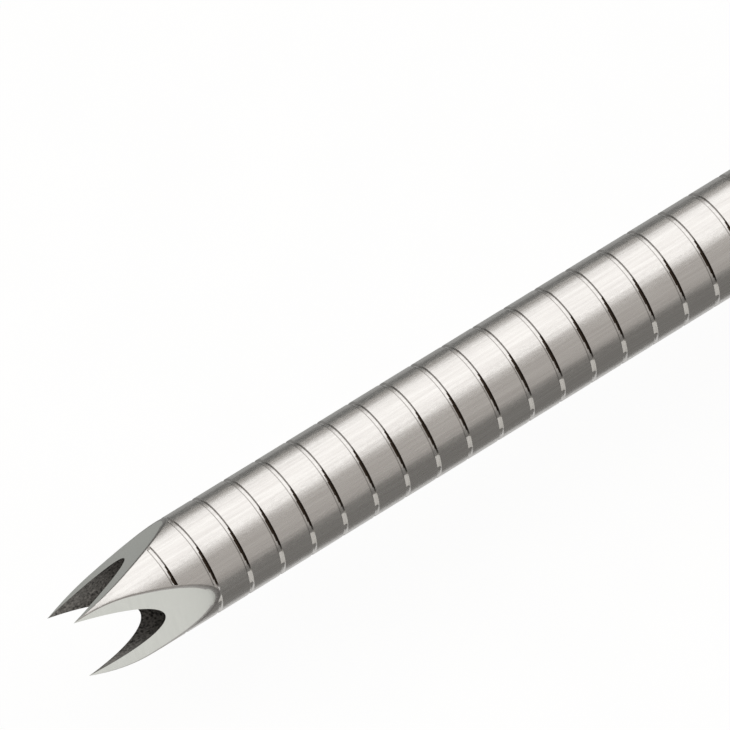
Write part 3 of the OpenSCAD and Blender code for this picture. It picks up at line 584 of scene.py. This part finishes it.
def makeStyletTip():
    # rod with a domed end, as long and thick as the source's
    low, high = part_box("stylet_tip")
    radius, length, sides = (high.y - low.y) / 2 / mm, (high.x - low.x) / mm, 32
    line = outline([(0, 0, 0), (radius, 0, 0), (radius, length, 0.18), (0, length, 0)], 6)
    turn = np.arange(sides) * 2 * math.pi / sides
    points = np.stack([np.repeat(low.x / mm + line[:, 1:], sides, 1),
                       needle["tip"][1] + line[:, :1] * np.cos(turn),
                       needle["tip"][2] + line[:, :1] * np.sin(turn)], -1)
    return newPiece("styletTip", points.reshape(-1, 3),
                    gridFaces(len(line), sides, True, True).tolist(), "stylet_tip",
                    "stylet_tip", finish=nitinol)


sheathTube, sheathLine, sheathLength = makeSheath()
needleFinishes = satinNeedle(), groundBevel(), lumenWall()
needleCrown = needleStretch("needleCrown", 0.0, needle["crownLength"],
                            (0, needle["crownGrooves"]), needle["columns"], True)
needleShaft = needleStretch("needleShaft", needle["crownLength"], needle["out"] + needle["hidden"],
                            (needle["crownGrooves"], needle["grooves"]), needle["shaftColumns"],
                            False)
styletTip = makeStyletTip()
print("sheath, cannula and stylet tip made")


# the handle: outlines carried round its axis, with flutes, lugs and threads as changes of
# radius. u runs back from the tip of the adapter's nose.

handle = {"height": 15.0, "nose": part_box("adapter_hub")[0].x / mm}
luer = {"tip": 1.99, "base": 2.215, "length": 7.5}  # 6 percent taper, in radius
marking = {"pitch": 10.0, "width": 0.4, "depth": 0.15, "turns": (0, 90, 180)}


def turnedPiece(name, body, finish, start, corners, shape=None, step=0.6, sharp=32,
                sides=144, upright=False):
    # outline from corners [radius, place, rounding], carried round: a point at radius r and
    # turn a lies at (start + u, r cos a, height + r sin a), with r first changed by
    # shape(r, u, a). An upright one crosses the handle's axis at start. The piece stands for
    # the source's part of its own name, luer_collar for luerCollar.
    line = outline(corners, step=step)
    turn = np.arange(sides) * 2 * math.pi / sides
    a = np.repeat(turn[None], len(line), 0)
    r, u = (np.repeat(line[:, k:k + 1], sides, 1) for k in (0, 1))
    if shape:
        r, u = shape(r, u, a)
    across, over = r * np.cos(a), r * np.sin(a)
    x, y, z = (across, over, u) if upright else (u, across, over)
    points = np.stack([handle["nose"] + start + x, y, handle["height"] + z], -1)
    node = "".join("_" + letter.lower() if letter.isupper() else letter for letter in name)
    return newPiece(name, points.reshape(-1, 3), gridFaces(*r.shape, True, True).tolist(), body,
                    node, sharp, finish)


def flutes(count, depth, top, start, end, ease=0.7, width=0.35):
    # rounded flutes cut in from radius top: depth * (1 - (off / width)^2) within each flute,
    # run out over ease at both ends
    def shape(r, u, a):
        off = np.abs((a * count / (2 * math.pi)) % 1 - 0.5) / width
        dip = unit(1 - off ** 2)
        along = unit((u - start) / ease) * unit((end - u) / ease)
        along = along * (2 - along)
        return np.where(r > top - depth - 1.2, np.minimum(r, top - depth * dip * along), r), u
    return shape


def secondFinish(piece, finish, test):
    # gives a second finish to the faces whose centres pass the test (u, radius, turn)
    mesh = piece.data
    x, y, z = (faceVectors(mesh, "center") / mm - (handle["nose"], 0, handle["height"])).T
    mesh.materials.append(finish)
    kind = np.zeros(len(mesh.polygons), np.int32)
    kind[test(x, np.hypot(y, z), np.arctan2(z, y))] = len(mesh.materials) - 1
    mesh.polygons.foreach_set("material_index", kind)


def cutAcross(mesh, size, step):
    # cuts flat text by level lines a step apart, so that it can bend round a tube
    work = bmesh.new()
    work.from_mesh(mesh)
    for level in np.arange(-size, size, step):
        bmesh.ops.bisect_plane(work, geom=work.verts[:] + work.edges[:] + work.faces[:],
                               plane_co=(0, level, 0), plane_no=(0, 1, 0))
    work.to_mesh(mesh)
    work.free()


def wrappedNumbers(name, body, marks, radius, size, offset):
    # printed numbers, all in one piece: flat text wrapped on the tube at each turn, proud of
    # it by the ink's thickness
    points, faces, count, ink, sink = [], [], 0, 0.03, 0.005
    for mark, text in marks:
        curve = bpy.data.curves.new(name, "FONT")
        curve.body, curve.size, curve.align_x, curve.align_y = text, size, "CENTER", "CENTER"
        curve.extrude, curve.resolution_u = ink, 3
        flat = toScene(bpy.data.objects.new(name, curve))
        bpy.context.view_layer.update()
        solid = bpy.data.meshes.new_from_object(flat.evaluated_get(
            bpy.context.evaluated_depsgraph_get()))
        cutAcross(solid, size, 0.3)
        co = np.zeros(len(solid.vertices) * 3)
        solid.vertices.foreach_get("co", co)
        along, around, up = co.reshape(-1, 3).T
        shapes = [list(face.vertices) for face in solid.polygons]
        for turn in marking["turns"]:
            a, r = math.radians(turn) + around / radius, radius + up + sink
            points.append(np.stack([handle["nose"] + mark + offset + along, -r * np.cos(a),
                                    handle["height"] + r * np.sin(a)], -1))
            faces += [[k + count for k in face] for face in shapes]
            count += len(around)
        bpy.data.objects.remove(flat)
        bpy.data.curves.remove(curve)
        bpy.data.meshes.remove(solid)
    newPiece(name, np.vstack(points), faces, body, None, 30, markInk)


# scope adapter: collar with a luer-lock thread inside, hub with its tapered nose, tube
adapter = {"collarAt": 2.1, "collar": 12.0, "collarRadius": 7.5, "mouth": 4.0, "neck": 2.815,
           "threadPitch": 5.0, "threadDepth": 0.42, "flutes": 18, "hubAt": 14.3, "hub": 10.0,
           "hubRadius": 8.0, "seat": 18.27, "tubeAt": 18.3, "tubeEnd": 84.3,
           "tubeRadius": 5.0, "wall": 1.6, "marksAt": 25.3, "marks": 5, "bore": 1.0,
           "fluteDepth": 0.6, "hubFluteDepth": 0.55}


def makeCollar():
    cut = flutes(adapter["flutes"], adapter["fluteDepth"], adapter["collarRadius"], 1.0, 10.2)

    def shape(r, u, a):
        # the two-start thread: a ridge where u / pitch + 2 turns is near a whole number
        r, u = cut(r, u, a)
        phase = (u * 2 / adapter["threadPitch"] - a / math.pi) % 1
        ridge = unit(1.6 - np.abs(phase - 0.5) * 8)
        ridge = ridge * unit((u - 0.5) / 0.6) * unit((7.5 - u) / 0.8)
        inner = np.abs(r - adapter["mouth"]) < 0.05
        return np.where(inner, r - adapter["threadDepth"] * ridge, r), u
    bore, end = adapter["neck"] + 0.08, adapter["collar"]
    top, mouth = adapter["collarRadius"], adapter["mouth"]
    turnedPiece("luerCollar", "luer_collar", whiteNylon, adapter["collarAt"], [
        [bore, end - 2.4, 0.1], [mouth, end - 2.4, 0.2], [mouth, 0, 0.5], [top - 1.2, 0, 0.2],
        [top, 1.0, 0.5], [top, end - 1.4, 0.4], [top - 0.5, end, 0.5],
        [bore, end, 0.2]], shape, 0.22)


def makeHub():
    at, end, top = adapter["hubAt"], adapter["hubAt"] + adapter["hub"], adapter["hubRadius"]
    neck, tube, bore, nose = adapter["neck"], adapter["tubeRadius"], adapter["bore"], luer["length"]
    cut = flutes(adapter["flutes"], adapter["hubFluteDepth"], top, at + 0.9, at + 6.4)
    turnedPiece("adapterHub", "adapter", whiteNylon, 0, [
        [bore, 0, 0.12], [luer["tip"], 0, 0.2], [luer["base"], nose, 0], [neck, nose, 0.15],
        [neck + 0.6, 7.95, 0.15], [neck + 0.6, 8.4, 0], [neck, 8.4, 0.1], [neck, at, 0.3],
        [top, at, 0.6], [top, at + 6, 0.8], [tube + 2.2, at + 7.2, 1.0], [tube + 1.6, end, 0.5],
        [tube + 0.03, end, 0.1], [tube + 0.03, adapter["seat"], 0],
        [bore, adapter["seat"], 0]], cut, 0.4)


def grooved(start, end, radius, wall, marks):
    # corners of a tube with a square groove at each mark (place, width, depth)
    outer = []
    for place, width, depth in marks:
        outer += [[radius, place - start, 0.03], [radius - depth, place - start + 0.05, 0],
                  [radius - depth, place - start + width - 0.05, 0],
                  [radius, place - start + width, 0.03]]
    return ([[radius - wall, 0, 0.2], [radius, 0, 0.4]] + outer
            + [[radius, end - start, 0.5], [radius - wall, end - start, 0.3]])


def scaleMarks(start, count):
    # one groove each pitch: its place, width and depth
    return [(start + k * marking["pitch"], marking["width"], marking["depth"])
            for k in range(count)]


def inkedTest(radius):
    # the marks' floors, which the ink fills
    depth = marking["depth"]
    return lambda u, r, a: (r > radius - depth * 1.3) & (r < radius - depth * 0.6)


def makeAdapterTube():
    marks, start = scaleMarks(adapter["marksAt"], adapter["marks"]), adapter["tubeAt"]
    radius = adapter["tubeRadius"]
    corners = grooved(start, adapter["tubeEnd"], radius, adapter["wall"], marks)
    tube = turnedPiece("adapterTube", "adapter", whiteAbs, start, corners, None, 3,
                       32, 96)
    secondFinish(tube, markInk, inkedTest(radius))
    numbers = [(mark[0], str(k)) for k, mark in enumerate(marks)]
    wrappedNumbers("adapterNumbers", "adapter", numbers, radius, 2.6, 2.3)


# grip: soft sleeve whose ribs are broken by shallow finger channels
grip = {"at": 97.33, "length": 39.94, "seat": 12.63, "top": 14.1, "ribs": 9, "ribHeight": 0.8,
        "channels": 6, "channelDepth": 0.1, "ribWave": 40.0}


def makeGrip():
    seat, top, length = grip["seat"], grip["top"], grip["length"]

    def shape(r, u, a):
        # ribs rise as a rounded wave along u and fade toward both ends; a channel has none
        phase = (u * grip["ribs"] / grip["ribWave"]) % 1
        rib = np.clip(0.5 - 0.5 * np.cos(2 * math.pi * phase) - 0.12, 0, 0.76) / 0.76
        rib = rib ** 0.8
        ends = unit(u / 1.2) * unit((length - u) / 1.2)
        wave = (a * grip["channels"] / (2 * math.pi)) % 1
        channel = unit(1 - (np.abs(wave - 0.5) / 0.09) ** 2)
        lift = grip["ribHeight"] * rib * ends * (1 - channel)
        lift -= grip["channelDepth"] * channel * ends
        return np.where(r > top - 0.3, r + lift, r), u
    turnedPiece("gripSleeve", "grip", blueElastomer, grip["at"], [
        [seat, 0, 0], [top, 0, 0.5], [top, length, 0.5], [seat, length, 0]], shape, 0.25, 50, 216)


# needle rail: keyway underneath, an inked mark each 10 mm and its number
rail = {"at": 134.3, "flange": 3.0, "flangeRadius": 9.0, "end": 270.3, "radius": 6.0,
        "wall": 1.6, "keyWidth": 2.0, "keyDepth": 0.8, "keyAt": 153.3, "marksAt": 177.9,
        "marks": 9}


def makeRail():
    marks = scaleMarks(rail["marksAt"], rail["marks"])
    radius, inner = rail["radius"], rail["radius"] - rail["wall"]
    flange, wide, key = rail["flange"], rail["flangeRadius"], rail["keyAt"] - rail["at"]
    start = [[inner, 0, 0.2], [wide, 0, 0.2], [wide, flange, 0.2], [radius, flange, 0.2],
             [radius, key, 0], [radius, key + 0.02, 0]]
    body = grooved(rail["at"], rail["end"], radius, rail["wall"], marks)

    def shape(r, u, a):
        # the keyway: points within half its width of the underside sink to its flat floor
        floor = (radius - rail["keyDepth"]) / np.maximum(-np.sin(a), 0.5)
        inside = (np.sin(a) < 0) & (u > key + 0.01) & (r > floor)
        return np.where(inside & (np.abs(r * np.cos(a)) < rail["keyWidth"] / 2), floor, r), u

    def inked(u, r, a):
        # the grooves' floors, but not in the keyway
        onFloor = inkedTest(radius)(u, r, a) & (u > rail["marksAt"] - 1)
        return onFloor & (np.abs(a + math.pi / 2) > 0.2)
    piece = turnedPiece("needleRail", "grip", whiteAbs, rail["at"],
                        start + body[2:], shape, 4, 30, 144)
    secondFinish(piece, markInk, inked)
    numbers = [(mark[0], str(len(marks) - 1 - k)) for k, mark in enumerate(marks)]
    wrappedNumbers("railNumbers", "grip", numbers, radius, 3.0, 2.9)


# thumb screws: a threaded shank under a knurled, dished head
thumb = {"lockAt": 77.3, "lockFoot": 5.4, "lockSeat": 12.0, "stopAt": 159.3, "stopFoot": 6.4,
         "stopSeat": 10.5, "shank": 2.0, "gap": 0.6, "head": 5.0, "height": 6.0, "knurls": 20,
         "thread": 0.7, "threadDepth": 0.15, "knurlDepth": 0.45}


def makeThumbScrew(name, body, at, foot, seat):
    under = seat + thumb["gap"]
    top, wide, slim = under + thumb["height"], thumb["head"], thumb["shank"]

    def shape(r, u, a):
        # knurls: the radius dips by knurlDepth in each; the shank's thread is a ridge along
        # u / thread - turn
        off = np.abs((a * thumb["knurls"] / (2 * math.pi)) % 1 - 0.5) / 0.36
        dip = unit(1 - off ** 2) * thumb["knurlDepth"]
        along = unit((u - under - 0.5) / 0.5) * unit((top - 0.9 - u) / 0.6)
        head = (r > wide - 0.8) & (u > under)
        r = np.where(head, np.minimum(r, wide - dip * along), r)
        ridge = np.abs((u / thumb["thread"] - a / (2 * math.pi)) % 1 - 0.5) * 2
        shank = (np.abs(r - slim) < 0.05) & (u < under - 0.05)
        return np.where(shank, r - thumb["threadDepth"] * ridge, r), u
    turnedPiece(name, body, whiteNylon, at, [
        [0, foot, 0], [slim - 0.4, foot, 0], [slim, foot + 0.4, 0], [slim, under, 0.1],
        [wide - 0.6, under, 0.1], [wide, under + 0.6, 0.2], [wide, top - 0.9, 0.3],
        [wide - 0.6, top, 0.4], [wide - 1.6, top, 0.2], [wide - 2.1, top - 0.5, 0.2],
        [0, top - 0.5, 0]], shape, 0.175, 32, 120, True)


# plunger: sleeve with finger grooves, scalloped thumb flange, needle hub, band and port
plunger = {"at": 238.3, "length": 100.5, "bore": 6.08, "wideBore": 6.4, "radius": 9.5,
           "land": 8.0, "wiper": (3.0, 4.86), "grooves": 6, "groovePitch": 3.0, "grooveDepth": 0.4,
           "flange": 15.0, "flangeThick": 6.0, "scallops": 12,
           "scallopDepth": 0.75, "grooveReach": 0.8, "seam": 0.03}


def makePlungerSleeve():
    length, land, radius = plunger["length"], plunger["land"], plunger["radius"]
    bore, wide, (start, end) = plunger["bore"], plunger["wideBore"], plunger["wiper"]
    seat = bore + 1.22

    def shape(r, u, a):
        # finger grooves: depth * sqrt(1 - off^2) about each pitch, off being 1 at grooveReach,
        # and two slim flats along the mould's parting line
        k = np.clip(np.round((u - land) / plunger["groovePitch"]), 0, plunger["grooves"] - 1)
        off = unit(np.abs(u - land - k * plunger["groovePitch"]) / plunger["grooveReach"])
        dip = plunger["grooveDepth"] * np.sqrt(1 - off ** 2)
        seam = plunger["seam"] * unit(1 - np.abs(np.sin(a)) * radius / 0.15)
        return np.where(r > radius - 0.6, r - dip - seam, r), u
    turnedPiece("plungerSleeve", "plunger", whiteAbs, plunger["at"], [
        [bore, 0, 0.4], [radius - 0.4, 0, 0.2], [radius, 0.8, 0.6], [radius, length, 0.3],
        [wide, length, 0.2], [wide, land, 0.2], [bore, land, 0.2], [bore, end, 0], [seat, end, 0],
        [seat, start, 0], [bore, start, 0]], shape, 0.2, 40, 128)


def makeFlange():
    radius, thick, inner = plunger["flange"], plunger["flangeThick"], plunger["radius"] + 0.03
    at = plunger["at"] + plunger["length"] - thick - 0.5

    def shape(r, u, a):
        # scallops round the rim, deepest at the middle of each, and a dished rear face
        wave = 0.5 - 0.5 * np.cos(a * plunger["scallops"])
        share = unit((r - 11.5) / (radius - 11.5))
        return r - plunger["scallopDepth"] * (1 - wave) ** 2 * share, u
    turnedPiece("plungerFlange", "plunger", blueAbs, at, [
        [inner, 0, 0], [11.0, 0, 0.6], [12.2, 1.4, 1.2], [radius, 2.2, 1.0],
        [radius, thick - 0.2, 1.2], [radius - 1.6, thick, 0.8], [11.2, thick - 0.5, 0.5],
        [inner, thick - 0.5, 0.1]], shape, 0.35, 40, 240)


hub = {"at": 332.8, "radius": 7.0, "spigot": 6.37, "shoulderAt": 338.83, "bandAt": 341.8,
       "band": 5.0, "bore": 0.39, "portAt": 348.8, "portEnd": 360.8, "port": 3.3,
       "mouth": 2.15, "lugs": 3.9}


def makeNeedleHub():
    radius, port, bore = hub["radius"], hub["port"], hub["bore"]
    shoulder = hub["shoulderAt"] - hub["at"]
    turnedPiece("needleHub", "plunger", blackAbs, hub["at"], [
        [bore, 0, 0], [hub["spigot"], 0, 0.5], [hub["spigot"], shoulder, 0],
        [radius, shoulder, 0.4], [radius, 14.4, 0.9], [port + 1.9, 17.4, 1.5],
        [port + 1.2, 20, 0.5], [port + 0.03, 20, 0.1], [port + 0.03, 15.97, 0],
        [bore, 15.97, 0]], None, 0.5, 36, 128)
    turnedPiece("gaugeBand", "plunger", blackSatin, hub["bandAt"], [
        [radius + 0.03, 0, 0], [radius + 0.3, 0, 0.1], [radius + 0.4, 0.3, 0.1],
        [radius + 0.4, hub["band"] - 0.3, 0.1], [radius + 0.3, hub["band"], 0.1],
        [radius + 0.03, hub["band"], 0]], None, 0.5, 36, 128)


def makePort():
    at, end, radius, mouth = hub["portAt"], hub["portEnd"], hub["port"], hub["mouth"]
    length, bore = end - at, hub["bore"]

    def shape(r, u, a):
        # two luer-lock lugs at the mouth, opposite one another, each on a sixth of the turn
        wave = np.abs((a / math.pi + 0.5) % 1 - 0.5) * math.pi
        lug = unit((0.55 - wave) / 0.12) * unit((u - length + 1.5) / 0.35)
        return np.where(r > radius - 0.4, r + (hub["lugs"] - radius) * lug, r), u
    turnedPiece("luerPort", "plunger", clearPart, at, [
        [bore, 0, 0], [radius, 0, 0.2], [radius, length, 0.25], [mouth, length, 0.2],
        [mouth + luer["tip"] - luer["base"], length - luer["length"], 0.1],
        [bore, length - 8.1, 0]], shape, 0.25, 32, 144)


cap = {"at": 363.3, "skirt": 8.0, "length": 24.0, "radius": 6.0, "wall": 1.2, "flutes": 14,
       "fluteDepth": 0.5}


def makeCap():
    radius, skirt, length = cap["radius"], cap["skirt"], cap["length"]
    inner = radius - cap["wall"]
    cut = flutes(cap["flutes"], cap["fluteDepth"], radius, 2.0, 18.5, 1.2)
    turnedPiece("styletCap", "stylet", blackAbs, cap["at"], [
        [0.28, skirt - 6, 0], [1.74, skirt - 6, 0.3], [1.95, skirt, 0.1], [inner, skirt, 0.2],
        [inner, 0, 0.2], [radius - 0.4, 0, 0.2], [radius, 0.5, 0.3], [radius, 19.6, 2.0],
        [radius * 0.7, length, 2.2], [0, length, 0], [0, skirt + 8, 0],
        [0.28, skirt + 8, 0]], cut, 0.4, 40, 168)


makeCollar()
makeHub()
makeAdapterTube()
print("scope adapter made")
makeGrip()
makeRail()
makeThumbScrew("sheathLockScrew", "sheath_lock_screw", thumb["lockAt"], thumb["lockFoot"],
               thumb["lockSeat"])
makeThumbScrew("stopScrew", "stop_screw", thumb["stopAt"], thumb["stopFoot"],
               thumb["stopSeat"])
print("grip, rail and thumb screws made")
makePlungerSleeve()
makeFlange()
makeNeedleHub()
makePort()
makeCap()
print("plunger and stylet cap made")


# the source's own pieces get their finishes here, also those that a made piece stands for

nodeFinishes = (
    (whiteNylon, "luer_collar adapter_hub sheath_lock_screw stop_screw"),
    (whiteAbs, "adapter_tube handle_shell_left handle_shell_right needle_rail plunger_sleeve"),
    (blueAbs, "front_collar rail_end_plug stop_ring plunger_flange"),
    (insertBrass, "lock_insert stop_insert"), (blackRubber, "adjuster_seal wiper_seal"),
    (screwSteel, "shell_screws"), (blueElastomer, "grip_sleeve"), (anchorResin, "sheath_anchor"),
    (ptfe, "sheath_handle"), (steelTube, "guide_hypotube needle_proximal"),
    (blackAbs, "needle_hub gauge_band stylet_cap"), (clearPart, "luer_port"),
    (nitinol, "stylet_rod"),
)
for finish, names in nodeFinishes:
    for name in names.split():
        nodes[name].data.materials.clear()
        nodes[name].data.materials.append(finish)
print("finishes on the source's own pieces")


# floor and background show white to the camera. The needle mirrors the wide softbox above
# it, an even warm room, and grey cards on both sides.

studio = {
    "floor": 8.0, "paper": 1.06, "shadowShare": 0.12, "glossyShare": 0.45,
    "bright": (0.1, 0.27, 0.95), "sky": ((0.0, 0.42), (1.0, 0.5), (0.5, 0.5)),
    "skyTint": (1.0, 0.945, 0.895),
    "softbox": (-0.27, -0.342, 0.787), "softboxSize": 1.5, "softboxPower": 5.6,
    "aim": (0, 0.08, 0),
}
cards = {  # corners (y, z) of each strip, its ends along x, all in mm, and its shade
    "left": (((161.3, 0.02), (159.0, 0.02)), (95, 130.5), "aaaaa8"),
    "back": (((159.0, 0.02), (156.0, 0.02), (156.0, 1.4)), (95, 130.5), "6c6c6a"),
    "right": (((162.5, 0.02), (168.0, 0.02), (168.0, 1.15)), (95, 127.1), "7c7a77"),
}


def directRays(tree):
    # the kinds of ray, and 1 for those that come from the camera straight or through glass
    rays = addNode(tree, "LightPath").outputs
    direct = addNode(tree, "Math", {0: rays["Is Camera Ray"],
        1: rays["Is Transmission Ray"]}, operation="MAXIMUM")
    return rays, direct.outputs[0]


def paleFloor():
    # matt paper, seen as white but for shadowShare of it, and mirrored partly as white
    made = bpy.data.materials.new("matteWhitePaper")
    tree = emptyTree(made)
    rays, direct = directRays(tree)
    place = addNode(tree, "TexCoord").outputs["Object"]
    paper = addNode(tree, "ValToRGB", {"Fac": grain(tree, place, 0.8, 3)},
                    toneStops("dcdcda", "e4e4e2"))
    diffuse = addNode(tree, "BsdfDiffuse", {"Color": paper.outputs[0], "Roughness": 0.4})
    white = addNode(tree, "Emission", {"Color": linear("ffffff"),
        "Strength": studio["paper"]})
    shares = [addNode(tree, "Math", {0: ray, 1: share}, operation="MULTIPLY").outputs[0]
              for ray, share in ((direct, 1 - studio["shadowShare"]),
                                 (rays["Is Glossy Ray"], studio["glossyShare"]))]
    share = addNode(tree, "Math", {0: shares[0], 1: shares[1]}, operation="MAXIMUM")
    both = addNode(tree, "MixShader", {0: share.outputs[0], 1: diffuse.outputs[0],
        2: white.outputs[0]})
    addNode(tree, "OutputMaterial", {"Surface": both.outputs[0]})
    return made


def stageSheet(name, points, faces, finish):
    mesh = bpy.data.meshes.new(name)
    mesh.from_pydata(points, [], faces)
    mesh.materials.append(finish)
    sheet = toScene(bpy.data.objects.new(name, mesh))
    return sheet


def makeWorld():
    # an almost even, slightly warm room for the object, and white for the camera
    world = bpy.data.worlds.new("studioWorld")
    tree = emptyTree(world)
    way = addNode(tree, "TexCoord").outputs["Generated"]
    height = addNode(tree, "VectorMath", {0: way, 1: studio["bright"]},
                     operation="DOT_PRODUCT").outputs["Value"]
    ramp = addNode(tree, "ValToRGB", {"Fac": height}, [
        (at, [value * share for share in studio["skyTint"]] + [1]) for at, value in studio["sky"]])
    room = addNode(tree, "Background", {"Color": ramp.outputs[0], "Strength": 1.0})
    white = addNode(tree, "Background", {"Color": linear("ffffff"), "Strength": 1.0})
    both = addNode(tree, "MixShader", {0: directRays(tree)[1], 1: room.outputs[0],
        2: white.outputs[0]})
    addNode(tree, "OutputWorld", {"Surface": both.outputs[0]})
    bpy.context.scene.world = world


def greyCard(name, corners, ends, shade):
    # card that only reflections see, a strip of quads through the corners
    points = [(x * mm, y * mm, z * mm) for y, z in corners for x in ends]
    faces = [(2 * k, 2 * k + 1, 2 * k + 3, 2 * k + 2) for k in range(len(corners) - 1)]
    made = bpy.data.materials.new(name + "Paper")
    tree = emptyTree(made)
    paper = addNode(tree, "Emission", {"Color": linear(shade), "Strength": 1.0})
    addNode(tree, "OutputMaterial", {"Surface": paper.outputs[0]})
    card = stageSheet(name + "Card", points, faces, made)
    card.visible_camera = card.visible_diffuse = card.visible_shadow = False
    card.visible_transmission = False


def softLight(name, away, size, power):
    # large square lamp that faces the object and isn't seen by the camera
    data = bpy.data.lights.new(name, "AREA")
    data.shape, data.size, data.energy = "SQUARE", size, power
    lamp = toScene(bpy.data.objects.new(name, data))
    aim = Vector(studio["aim"])
    lamp.location = aim + Vector(away)
    lamp.rotation_euler = (aim - lamp.location).to_track_quat("-Z", "Y").to_euler()
    lamp.visible_camera = False


half = studio["floor"] / 2
stageSheet("floor", [(-half, -half, 0), (half, -half, 0), (half, half, 0), (-half, half, 0)],
           [(0, 1, 2, 3)], paleFloor())
makeWorld()
for name, (corners, ends, shade) in cards.items():
    greyCard(name, corners, ends, shade)
softLight("softbox", studio["softbox"], studio["softboxSize"], studio["softboxPower"])
bpy.context.scene.view_settings.view_transform = "Standard"
print("floor, world and lights made")
